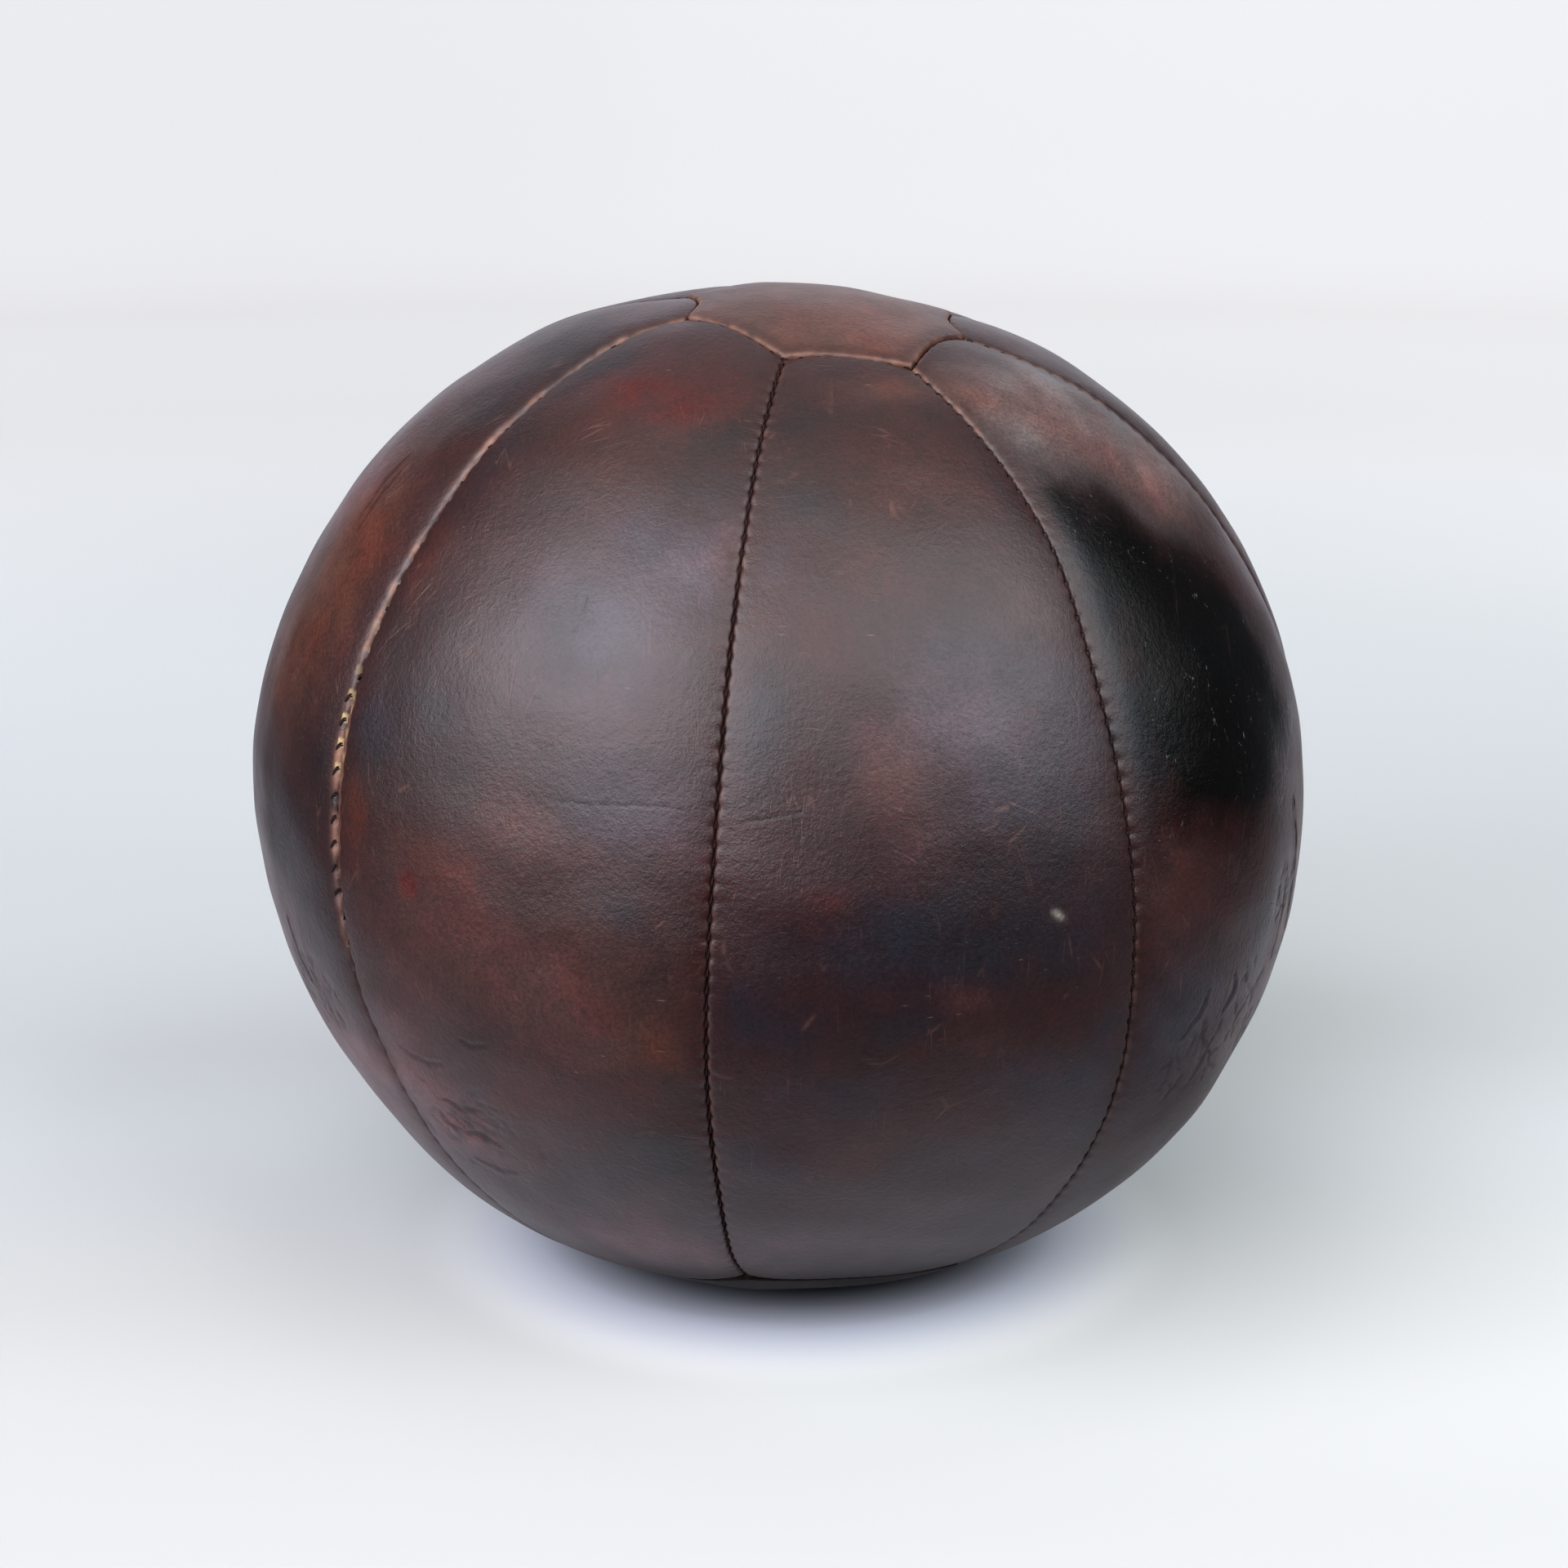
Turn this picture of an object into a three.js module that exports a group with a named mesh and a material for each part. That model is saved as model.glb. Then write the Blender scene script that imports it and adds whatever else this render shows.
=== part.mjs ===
// A leather medicine ball: eight gore panels and two eight-sided end caps, sewn edge to edge
// round a canvas lining bag that is packed with fibre. The ball is old, so it has settled: it is
// a little lower than it is wide, its seam axis leans, and its own weight has pressed a flat base.
//
// Millimetres, +Z up, origin on the floor under the middle of the ball. Places on the ball are
// given in degrees: latitude 90 is the middle of the top cap, and longitude 0 faces -Y and
// grows towards +X. Depth is measured straight in from the outer surface.
import * as THREE from 'three';

// Shape of the ball.
const BALL_RADIUS = 163; // its mean; it is 330 across at the widest level
const SQUAT = -0.031; // how much lower than wide, as a share of the radius
const EGG = -0.0022; // fuller below than above
const SHOULDER = -0.0085; // fuller at the shoulders than a plain ellipse
const SLUMP = -0.0215; // sags towards the lower +X side
const BASE_PRESSED = 6; // how far the weight has flattened the bottom
const BASE_BLEND = 2; // softness of the rim of the flat base

// The axis through the two end caps leans towards +X and bends towards -Y, in degrees. Drift
// and bow are how the angle changes with height, here and in the seams below.
const AXIS_LEAN = { middle: 5.5, drift: 1.87, bow: -3.28 };
const AXIS_BEND = { middle: 0, drift: 8.03, bow: -3.0 };

// The eight gore seams: longitude at the equator, drift towards the top cap, and bow.
const GORE_SEAMS = [
  { lon: -52.3, drift: -6.6, bow: -15.4 }, // the closing seam, sewn by hand from outside
  { lon: -7.1, drift: -4.0, bow: -3.6 },
  { lon: 38.6, drift: -11.3, bow: 8.9 },
  { lon: 87.1, drift: -1.8, bow: -6.1 },
  { lon: 131.3, drift: -2.8, bow: -8.0 },
  { lon: 175.4, drift: -3.7, bow: -9.8 },
  { lon: 219.5, drift: -4.7, bow: -11.7 },
  { lon: 263.6, drift: -5.6, bow: -13.5 },
];
const PANELS = GORE_SEAMS.length;

// The corners of the end caps, as degrees from the cap's middle, one on each gore seam.
const TOP_CORNERS = [15.7, 17.2, 17.2, 16.6, 18.5, 17.6, 16.8, 16.0];
const BOTTOM_CORNERS = [22.5, 27.3, 27.3, 22.0, 17.5, 16.0, 16.0, 18.5];
const CAP_EDGE_BOW = 2.4; // degrees that each cap edge bows in between its corners

// Leather and seams.
const LEATHER = 2.4;
const HEM = 4.8; // leather and its turned-in allowance, which is pared thin at its cut edge
const HEM_REACH = 12; // from the seam to where the allowance ends
const SEAM_HALF = 0.8; // from the middle of a seam to the rolled edge of a panel
const ROLL_REACH = 2.4; // from the middle of a seam to where the panel is at full height
const ROLL_DEPTH = 1.6; // how far the rolled edge has dropped at the seam
const ROLL_START = 0.3; // and where it starts to roll
const WELT_HALF = 0.5; // the strip of leather sewn in between two edges
const WELT_TOP = 2.1;
const THREAD_HALF = 0.45;
const THREAD_DEPTH = 1.3;

// Inside.
const LINING_DEPTH = 5.7;
const LINING = 1;
const STUFFING_DEPTH = 8;
const SLIT_HALF = 1.7; // the lining's stuffing slit, behind the closing seam
const SLIT_STITCH_SWING = 0.9;
const SLIT_STITCHES = 10;

// Fineness of the faceted surfaces.
const GORE_COLUMNS = 5; // between the two hems of a gore, hems included
const GORE_ROWS = 17;
const CAP_EDGE_STEPS = 5;
const LINING_STEPS = 3; // columns for each gore
const LINING_ROWS = 12;

const RADIANS = Math.PI / 180;
const MM_PER_DEGREE = BALL_RADIUS * RADIANS;
const X_AXIS = new THREE.Vector3(1, 0, 0);
const Y_AXIS = new THREE.Vector3(0, 1, 0);

// ---- The outer surface ----

function radiusTowards(n) {
  const square = n.z * n.z;
  const second = 1.5 * square - 0.5;
  const third = n.z * (2.5 * square - 1.5);
  const fourth = (35 * square * square - 30 * square + 3) / 8;
  const swell = SQUAT * second + EGG * third + SHOULDER * fourth + SLUMP * n.x * n.z;
  return BALL_RADIUS * (1 + swell);
}

const CENTRE_HEIGHT = radiusTowards(new THREE.Vector3(0, 0, -1)) - BASE_PRESSED;

function direction(lon, lat) {
  const rise = Math.sin(lat * RADIANS);
  const reach = Math.cos(lat * RADIANS);
  const turn = lon * RADIANS;
  const angle = ({ middle, drift, bow }) => (middle + drift * rise + bow * rise * rise) * RADIANS;
  return new THREE.Vector3(Math.sin(turn) * reach, -Math.cos(turn) * reach, rise)
    .applyAxisAngle(X_AXIS, angle(AXIS_BEND))
    .applyAxisAngle(Y_AXIS, angle(AXIS_LEAN));
}

// The unpressed ball's outward normal, from how fast a point leaves the surface.
function outward(point) {
  const step = 0.01;
  const away = (p) => p.length() - radiusTowards(p.clone().normalize());
  const slope = ['x', 'y', 'z'].map((axis) => {
    const ahead = point.clone();
    const behind = point.clone();
    ahead[axis] += step;
    behind[axis] -= step;
    return away(ahead) - away(behind);
  });
  return new THREE.Vector3(...slope).normalize();
}

// A point on the ball or at a depth inside it, with the bottom pressed flat on the floor.
function ballPoint(lon, lat, depth) {
  const n = direction(lon, lat);
  const point = n.clone().multiplyScalar(radiusTowards(n));
  const normal = outward(point);
  const height = point.z + CENTRE_HEIGHT;
  const blend = THREE.MathUtils.clamp((height + BASE_BLEND) / (2 * BASE_BLEND), 0, 1);
  point.z = height > BASE_BLEND ? height : BASE_BLEND * blend * blend;
  normal.set(normal.x * blend, normal.y * blend, normal.z).normalize();
  return point.addScaledVector(normal, -depth);
}

// ---- Seams and sectors: sector n is the gore between seams n and n + 1 ----

function seamLon(index, lat) {
  const seam = GORE_SEAMS[(index + PANELS) % PANELS];
  const turns = Math.floor(index / PANELS);
  const t = lat / 90;
  return seam.lon + seam.drift * t + seam.bow * t * t + 360 * turns;
}

function widthAt(sector, lat) {
  const span = seamLon(sector + 1, lat) - seamLon(sector, lat);
  return span * MM_PER_DEGREE * Math.cos(lat * RADIANS);
}

// across runs from 0 at the sector's left seam to 1 at its right seam.
function spot(sector, across, lat, depth) {
  const lon = THREE.MathUtils.lerp(seamLon(sector, lat), seamLon(sector + 1, lat), across);
  return ballPoint(lon, lat, depth);
}

// Latitude of a cap's edge; end is 1 at the top and -1 at the bottom.
function edgeLat(end, sector, across) {
  const corners = end > 0 ? TOP_CORNERS : BOTTOM_CORNERS;
  const left = corners[(sector + PANELS) % PANELS];
  const right = corners[(sector + 1 + PANELS) % PANELS];
  const bow = CAP_EDGE_BOW * 4 * across * (1 - across);
  return end * (90 - THREE.MathUtils.lerp(left, right, across) + bow);
}

// ---- Closed faceted solids ----

class Solid {
  constructor() {
    this.points = [];
    this.faces = [];
  }

  row(points) {
    return points.map((point) => this.points.push(point) - 1);
  }

  // Quads between two rows of the same length, except those that skip says are left open.
  bridge(a, b, closed, skip = () => false) {
    const last = closed ? a.length : a.length - 1;
    for (let i = 0; i < last; i += 1) {
      const j = (i + 1) % a.length;
      if (!skip(i)) {
        this.faces.push([a[i], a[j], b[j]], [a[i], b[j], b[i]]);
      }
    }
  }

  // Triangles from a closed row to one tip.
  fan(loop, tip) {
    loop.forEach((corner, i) => this.faces.push([corner, loop[(i + 1) % loop.length], tip]));
  }

  // A flat end over a closed row.
  lid(loop, start) {
    for (let i = 1; i < loop.length - 1; i += 1) {
      const pair = start ? [loop[i + 1], loop[i]] : [loop[i], loop[i + 1]];
      this.faces.push([loop[0], ...pair]);
    }
  }

  volume() {
    const [a, b, c] = [0, 0, 0].map(() => new THREE.Vector3());
    return this.faces.reduce((sum, face) => {
      [a, b, c].forEach((corner, i) => corner.copy(this.points[face[i]]));
      return sum + a.dot(b.cross(c)) / 6;
    }, 0);
  }

  mesh(name, finish) {
    const outwards = this.volume() > 0;
    const index = this.faces.flatMap((face) => (outwards ? face : [...face].reverse()));
    const geometry = new THREE.BufferGeometry().setFromPoints(this.points);
    geometry.setIndex(index);
    geometry.computeVertexNormals();
    const mesh = new THREE.Mesh(geometry, new THREE.MeshStandardMaterial(finish));
    mesh.name = name;
    return mesh;
  }
}

// A section swept along stations; each station places a sideways offset and a depth.
function sweep(stations, section, closed) {
  const solid = new Solid();
  const rows = stations.map((place) => solid.row(section.map(([side, depth]) => place(side, depth))));
  rows.slice(1).forEach((row, i) => solid.bridge(rows[i], row, true));
  if (closed) {
    solid.bridge(rows.at(-1), rows[0], true);
  } else {
    solid.lid(rows[0], true);
    solid.lid(rows.at(-1), false);
  }
  return solid;
}

// ---- Panels ----

// Distances of a panel's grid lines from one edge to the other: both rolled edges and hems,
// and the field evenly divided between them.
function gridLines(length, fieldLines) {
  const step = (length - 2 * HEM_REACH) / (fieldLines - 1);
  const field = Array.from({ length: fieldLines }, (_, i) => HEM_REACH + i * step);
  return [SEAM_HALF, ROLL_REACH, ...field, length - ROLL_REACH, length - SEAM_HALF];
}

const OUTER_DEPTHS = [ROLL_DEPTH, ROLL_START, 0]; // by grid line, from the edge inwards
const INNER_DEPTHS = [HEM, HEM, LEATHER];

function gorePoint(sector, column, row, depth) {
  let across = column / (GORE_COLUMNS + 3);
  let lat = 0;
  for (let pass = 0; pass < 4; pass += 1) {
    const low = edgeLat(-1, sector, across);
    const length = (edgeLat(1, sector, across) - low) * MM_PER_DEGREE;
    lat = low + gridLines(length, GORE_ROWS)[row] / MM_PER_DEGREE;
    const width = widthAt(sector, lat);
    across = gridLines(width, GORE_COLUMNS)[column] / width;
  }
  return spot(sector, across, lat, depth);
}

function gorePanel(sector) {
  const solid = new Solid();
  const columns = GORE_COLUMNS + 4;
  const rows = GORE_ROWS + 4;
  const layer = (depths) =>
    Array.from({ length: rows }, (_, j) =>
      solid.row(
        Array.from({ length: columns }, (_unused, i) => {
          const ring = Math.min(i, j, columns - 1 - i, rows - 1 - j);
          return gorePoint(sector, i, j, depths[Math.min(ring, depths.length - 1)]);
        }),
      ),
    );
  const rim = (grid) => [
    ...grid[0].slice(0, -1),
    ...grid.slice(0, -1).map((row) => row.at(-1)),
    ...grid.at(-1).slice(1).reverse(),
    ...grid.slice(1).reverse().map((row) => row[0]),
  ];
  const outer = layer(OUTER_DEPTHS);
  const inner = layer(INNER_DEPTHS);
  for (let j = 0; j < rows - 1; j += 1) {
    solid.bridge(outer[j], outer[j + 1], false);
    solid.bridge(inner[j + 1], inner[j], false);
  }
  solid.bridge(rim(inner), rim(outer), true);
  return solid;
}

// Places round a cap's edge, from seam to seam.
const CAP_STATIONS = Array.from({ length: PANELS * CAP_EDGE_STEPS }, (_, i) => ({
  sector: Math.floor(i / CAP_EDGE_STEPS),
  across: (i % CAP_EDGE_STEPS) / CAP_EDGE_STEPS,
}));

function capPanel(end) {
  const solid = new Solid();
  const loop = (inset, depth) =>
    solid.row(
      CAP_STATIONS.map(({ sector, across }) => {
        const lat = edgeLat(end, sector, across);
        const reach = (90 - Math.abs(lat)) * MM_PER_DEGREE;
        return spot(sector, across, lat + (end * inset(reach)) / MM_PER_DEGREE, depth);
      }),
    );
  const insets = [() => SEAM_HALF, () => ROLL_REACH, () => HEM_REACH, (reach) => reach * 0.6];
  const layer = (depths) =>
    insets.map((inset, i) => loop(inset, depths[Math.min(i, depths.length - 1)]));
  const outer = layer(OUTER_DEPTHS);
  const inner = layer(INNER_DEPTHS);
  for (let i = 0; i < insets.length - 1; i += 1) {
    solid.bridge(outer[i], outer[i + 1], true);
    solid.bridge(inner[i + 1], inner[i], true);
  }
  const [outerTip, innerTip] = solid.row([ballPoint(0, 90 * end, 0), ballPoint(0, 90 * end, LEATHER)]);
  solid.fan(outer.at(-1), outerTip);
  solid.fan([...inner.at(-1)].reverse(), innerTip);
  solid.bridge(inner[0], outer[0], true);
  return solid;
}

// ---- What lies in the seams ----

const WELT_SECTION = [
  [-WELT_HALF, WELT_TOP],
  [WELT_HALF, WELT_TOP],
  [WELT_HALF, HEM],
  [-WELT_HALF, HEM],
];
const THREAD_SECTION = [
  [0, THREAD_DEPTH - THREAD_HALF],
  [THREAD_HALF, THREAD_DEPTH],
  [0, THREAD_DEPTH + THREAD_HALF],
  [-THREAD_HALF, THREAD_DEPTH],
];

function alongGoreSeam(index, section) {
  const low = edgeLat(-1, index, 0);
  const length = (edgeLat(1, index, 0) - low) * MM_PER_DEGREE;
  const stations = gridLines(length, GORE_ROWS).map((distance) => {
    const lat = low + distance / MM_PER_DEGREE;
    return (side, depth) => spot(index, side / widthAt(index, lat), lat, depth);
  });
  return sweep(stations, section, false);
}

function roundCap(end, section) {
  const stations = CAP_STATIONS.map(({ sector, across }) => {
    const lat = edgeLat(end, sector, across);
    return (side, depth) => spot(sector, across, lat + side / MM_PER_DEGREE, depth);
  });
  return sweep(stations, section, true);
}

// ---- Lining bag and stuffing ----

const LINING_LATS = Array.from({ length: LINING_ROWS - 1 }, (_, i) => -90 + (180 / LINING_ROWS) * (i + 1));
const SLIT_ROWS = [4, 6]; // the slit runs between these rows of the lining

// Columns of the bag; its first and last stand either side of the closing seam.
function bagLoop(lat, depth) {
  const slit = SLIT_HALF / widthAt(0, 0);
  const places = [];
  for (let sector = 0; sector < PANELS; sector += 1) {
    for (let i = 0; i < LINING_STEPS; i += 1) {
      places.push([sector, Math.max(i / LINING_STEPS, sector === 0 ? slit : 0)]);
    }
  }
  places.push([PANELS - 1, 1 - slit]);
  return places.map(([sector, across]) => spot(sector, across, lat, depth));
}

function liningBag() {
  const solid = new Solid();
  const layer = (depth) => LINING_LATS.map((lat) => solid.row(bagLoop(lat, depth)));
  const outer = layer(LINING_DEPTH);
  const inner = layer(LINING_DEPTH + LINING);
  const gap = outer[0].length - 1;
  const [low, high] = SLIT_ROWS;
  for (let j = 0; j < outer.length - 1; j += 1) {
    const open = (i) => i === gap && j >= low && j < high;
    solid.bridge(outer[j], outer[j + 1], true, open);
    solid.bridge(inner[j + 1], inner[j], true, open);
  }
  [-90, 90].forEach((lat) => {
    const [outerTip, innerTip] = solid.row([
      ballPoint(0, lat, LINING_DEPTH),
      ballPoint(0, lat, LINING_DEPTH + LINING),
    ]);
    const end = lat > 0 ? -1 : 0;
    const facing = (loop) => (lat > 0 ? loop : [...loop].reverse());
    solid.fan(facing(outer.at(end)), outerTip);
    solid.fan(facing([...inner.at(end)].reverse()), innerTip);
  });
  const slitRim = (grid) => {
    const rows = grid.slice(low, high + 1);
    return [...rows.map((row) => row[0]), ...rows.reverse().map((row) => row[gap])];
  };
  solid.bridge(slitRim(outer), slitRim(inner), true);
  return solid;
}

// The thread that closes the slit, swinging from lip to lip.
function slitStitching() {
  const depth = LINING_DEPTH + LINING / 2;
  const rows = LINING_LATS.slice(SLIT_ROWS[0], SLIT_ROWS[1] + 1);
  const lips = rows.map((lat) => [spot(0, 0, lat, depth), lat]);
  const total = lips.length - 1;
  const stations = Array.from({ length: 2 * SLIT_STITCHES + 1 }, (_, i) => {
    const along = 0.02 + (0.96 * i * total) / (2 * SLIT_STITCHES);
    const span = Math.min(Math.floor(along), total - 1);
    const [from, fromLat] = lips[span];
    const [to] = lips[span + 1];
    const middle = from.clone().lerp(to, along - span);
    const normal = outward(spot(0, 0, fromLat, 0).setZ(0)).setZ(0).normalize();
    const sideways = new THREE.Vector3(-normal.y, normal.x, 0);
    const swing = i % 2 === 0 ? SLIT_STITCH_SWING : -SLIT_STITCH_SWING;
    return (side, down) =>
      middle
        .clone()
        .addScaledVector(sideways, swing)
        .addScaledVector(normal, -down)
        .add(new THREE.Vector3(0, 0, side));
  });
  const half = THREAD_HALF * 0.7;
  const section = [
    [half, 0],
    [0, half],
    [-half, 0],
    [0, -half],
  ];
  return sweep(stations, section, false);
}

function stuffingMass() {
  const solid = new Solid();
  const rows = LINING_LATS.map((lat) => solid.row(bagLoop(lat, STUFFING_DEPTH)));
  rows.slice(1).forEach((row, i) => solid.bridge(rows[i], row, true));
  const [bottom, top] = solid.row([-90, 90].map((lat) => ballPoint(0, lat, STUFFING_DEPTH)));
  solid.fan([...rows[0]].reverse(), bottom);
  solid.fan(rows.at(-1), top);
  return solid;
}

// ---- Finishes and assembly ----

const LEATHER_FINISH = { color: 0x3b2422, roughness: 0.5, metalness: 0 };
const CAP_FINISH = { color: 0x4a302c, roughness: 0.52, metalness: 0 };
const WELT_FINISH = { color: 0x7a5238, roughness: 0.7, metalness: 0 };
const THREAD_FINISH = { color: 0x3a1414, roughness: 0.75, metalness: 0 };
const CANVAS_FINISH = { color: 0xb7a582, roughness: 0.95, metalness: 0 };
const FIBRE_FINISH = { color: 0x6f5b45, roughness: 1, metalness: 0 };

const ball = new THREE.Group();
for (let index = 0; index < PANELS; index += 1) {
  const number = index + 1;
  const seam = index === 0 ? 'closing_seam' : `gore_seam_${number}`;
  ball.add(gorePanel(index).mesh(`gore_panel_${number}`, LEATHER_FINISH));
  ball.add(alongGoreSeam(index, WELT_SECTION).mesh(`${seam}_welt`, WELT_FINISH));
  ball.add(alongGoreSeam(index, THREAD_SECTION).mesh(`${seam}_thread`, THREAD_FINISH));
}
[
  ['top', 1],
  ['bottom', -1],
].forEach(([name, end]) => {
  ball.add(capPanel(end).mesh(`${name}_cap`, CAP_FINISH));
  ball.add(roundCap(end, WELT_SECTION).mesh(`${name}_cap_welt`, WELT_FINISH));
  ball.add(roundCap(end, THREAD_SECTION).mesh(`${name}_cap_thread`, THREAD_FINISH));
});
ball.add(liningBag().mesh('lining_bag', CANVAS_FINISH));
ball.add(slitStitching().mesh('lining_slit_thread', THREAD_FINISH));
ball.add(stuffingMass().mesh('stuffing', FIBRE_FINISH));

export default ball;
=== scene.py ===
"""Looks of an old leather medicine ball: eight gore panels and two end caps, sewn edge to edge.

Shapes are worked out in millimetres with the same numbers as the CAD source. Places on the ball
are given by sector (the gore between seams n and n + 1), across (0 at its left seam, 1 at its
right), latitude in degrees from the ball's seam equator, and depth below the surface in mm.
"""
import math

import bpy
import numpy as np
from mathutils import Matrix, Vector


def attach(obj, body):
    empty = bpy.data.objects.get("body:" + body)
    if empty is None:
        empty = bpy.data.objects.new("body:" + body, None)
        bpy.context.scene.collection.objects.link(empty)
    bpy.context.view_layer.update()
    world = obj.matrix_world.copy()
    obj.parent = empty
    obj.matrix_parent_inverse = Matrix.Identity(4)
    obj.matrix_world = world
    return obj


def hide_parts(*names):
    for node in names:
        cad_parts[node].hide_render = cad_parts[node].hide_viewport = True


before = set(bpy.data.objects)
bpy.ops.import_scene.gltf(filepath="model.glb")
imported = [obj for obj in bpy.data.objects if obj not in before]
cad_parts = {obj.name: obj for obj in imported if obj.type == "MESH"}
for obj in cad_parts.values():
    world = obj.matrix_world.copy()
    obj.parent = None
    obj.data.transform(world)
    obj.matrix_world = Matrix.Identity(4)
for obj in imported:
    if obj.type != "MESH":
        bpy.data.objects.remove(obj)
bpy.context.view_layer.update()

# ---- The ball's form, as in the CAD ----

BALL_RADIUS = 163.0
SQUAT, EGG, SHOULDER, SLUMP = -0.031, -0.0022, -0.0085, -0.0215
BASE_PRESSED = 6.0
BASE_BLEND = 2.0
AXIS_LEAN = (5.5, 1.87, -3.28)  # middle, drift, bow, in degrees
AXIS_BEND = (0.0, 8.03, -3.0)
GORE_SEAMS = (  # longitude at the equator, drift, bow
    (-52.3, -6.6, -15.4),
    (-7.1, -4.0, -3.6),
    (38.6, -11.3, 8.9),
    (87.1, -1.8, -6.1),
    (131.3, -2.8, -8.0),
    (175.4, -3.7, -9.8),
    (219.5, -4.7, -11.7),
    (263.6, -5.6, -13.5),
)
PANELS = len(GORE_SEAMS)
TOP_CORNERS = (15.7, 17.2, 18.4, 16.6, 18.5, 17.6, 16.8, 16.0)
BOTTOM_CORNERS = (22.5, 27.3, 27.3, 22.0, 17.5, 16.0, 16.0, 18.5)
CAP_EDGE_BOW = 2.4
MM_PER_DEGREE = math.radians(BALL_RADIUS)
LEATHER = 2.4
HEM = 4.8
HEM_REACH = 12.0
LINING_DEPTH = 5.7
LINING = 1.0
STUFFING_DEPTH = 8.0

# How far each seam strays sideways from its smooth line: (latitude, mm to the right).
SEAM_STRAY = {
    0: ((-67, 0), (-45, -0.4), (-27, 2.1), (-8, 0.2), (8, 0.2), (22, 1.2), (36, 2.4), (50, 0.6), (62, -0.6), (74, 0)),
    1: ((-63, 0), (-55, -0.8), (-40, 0.2), (-20, -0.2), (10, 0.2), (40, 0), (74, 0)),
    2: (
        (-63, 0.5), (-45, 0.5), (-30, 0), (-5, -1.0), (15, -0.4), (30, -0.6), (45, 0.9), (56, 0.2), (66, -1.0),
        (72, -1.6),
    ),
}

# How far the leather bulges round the ball's outline: (angle from the right, anticlockwise, mm).
OUTLINE_BULGE = (
    (-90, 0.8), (-55, 1.6), (-40, 0.6), (-22, -0.7), (-5, -0.2), (10, 1.5), (22, 1.4), (40, 2.4), (58, 2.4),
    (75, 3.3), (90, 2.2), (100, 1.0), (115, 1.5), (130, 0.4), (141, -0.6), (155, 0.5), (185, 1.6), (200, 0.1),
    (212, -0.7), (234, 1.6), (270, 0.8),
)

# The bulge is greatest on the ring seen edge-on from a little above: cosine and sine of its slope,
# how far before the middle it lies and its half width, as shares of the radius.
RING_SLOPE = (0.963, 0.268)
RING_PLACE, RING_HALF = 0.14, 0.36
LUMP_HEIGHT, RIPPLE_HEIGHT = 1.2, 0.22

# ---- Small helpers ----


def smoothstep(low, high, x):
    t = np.clip((x - low) / (high - low), 0, 1)
    return t * t * (3 - 2 * t)


def through(knots, x):
    """A smooth curve through given (place, value) knots."""
    places, values = (np.array(column, float) for column in zip(*knots))
    slopes = np.gradient(values, places)
    x = np.clip(x, places[0], places[-1])
    i = np.clip(np.searchsorted(places, x) - 1, 0, len(places) - 2)
    span = places[i + 1] - places[i]
    t = (x - places[i]) / span
    a, b = t * t * (3 - 2 * t), t * (1 - t)
    return values[i] * (1 - a) + values[i + 1] * a + span * b * ((1 - t) * slopes[i] - t * slopes[i + 1])


class Waves:
    """A smooth, seeded random field between about -1 and 1, with wavelengths in mm."""

    def __init__(self, seed, shortest, longest, count=24):
        rng = np.random.default_rng(seed)
        axis = rng.normal(size=(count, 3))
        axis /= np.linalg.norm(axis, axis=1, keepdims=True)
        lengths = np.geomspace(shortest, longest, count)
        self.freq = axis * (2 * math.pi / lengths)[:, None]
        self.phase = rng.uniform(0, 2 * math.pi, count)
        self.gain = (lengths / longest) ** 0.5
        self.gain /= math.sqrt((self.gain**2).sum() / 2) * 2

    def __call__(self, points):
        return np.einsum("...k,k->...", np.sin(points @ self.freq.T + self.phase), self.gain)


LUMPS = Waves(3, 55, 190)
RIPPLES = Waves(4, 18, 50)
WARP_X, WARP_Y, WARP_FINE = Waves(11, 22, 90), Waves(12, 22, 90), Waves(13, 4, 14, 30)
PATCHY = Waves(14, 6, 40, 30)
MOTTLE, REDNESS = Waves(31, 7, 60, 40), Waves(32, 12, 80, 40)
WEAR = Waves(15, 5, 30, 30)
FINE_WEAR = Waves(16, 1.6, 7, 30)

# ---- The surface ----


def radius_towards(n):
    x, z = n[..., 0], n[..., 2]
    square = z * z
    second = 1.5 * square - 0.5
    third = z * (2.5 * square - 1.5)
    fourth = (35 * square * square - 30 * square + 3) / 8
    return BALL_RADIUS * (1 + SQUAT * second + EGG * third + SHOULDER * fourth + SLUMP * x * z)


CENTRE_HEIGHT = float(radius_towards(np.array([0, 0, -1.0]))) - BASE_PRESSED


def direction(lon, lat):
    lon, lat = np.radians(lon), np.radians(lat)
    rise, reach = np.sin(lat), np.cos(lat)
    x, y, z = np.sin(lon) * reach, -np.cos(lon) * reach, rise + 0 * lon
    bend, lean = (
        np.radians(middle + drift * rise + bow * rise * rise) for middle, drift, bow in (AXIS_BEND, AXIS_LEAN)
    )
    y, z = y * np.cos(bend) - z * np.sin(bend), y * np.sin(bend) + z * np.cos(bend)
    x, z = x * np.cos(lean) + z * np.sin(lean), -x * np.sin(lean) + z * np.cos(lean)
    return np.stack([x, y, z], -1)


def outward(point):
    slopes = []
    for axis in range(3):
        step = np.zeros(3)
        step[axis] = 0.5
        ahead, behind = point + step, point - step
        rise = 0
        for p, sign in ((ahead, 1), (behind, -1)):
            length = np.linalg.norm(p, axis=-1)
            rise = rise + sign * (length - radius_towards(p / length[..., None]))
        slopes.append(rise)
    normal = np.stack(slopes, -1)
    return normal / np.linalg.norm(normal, axis=-1, keepdims=True)


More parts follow.
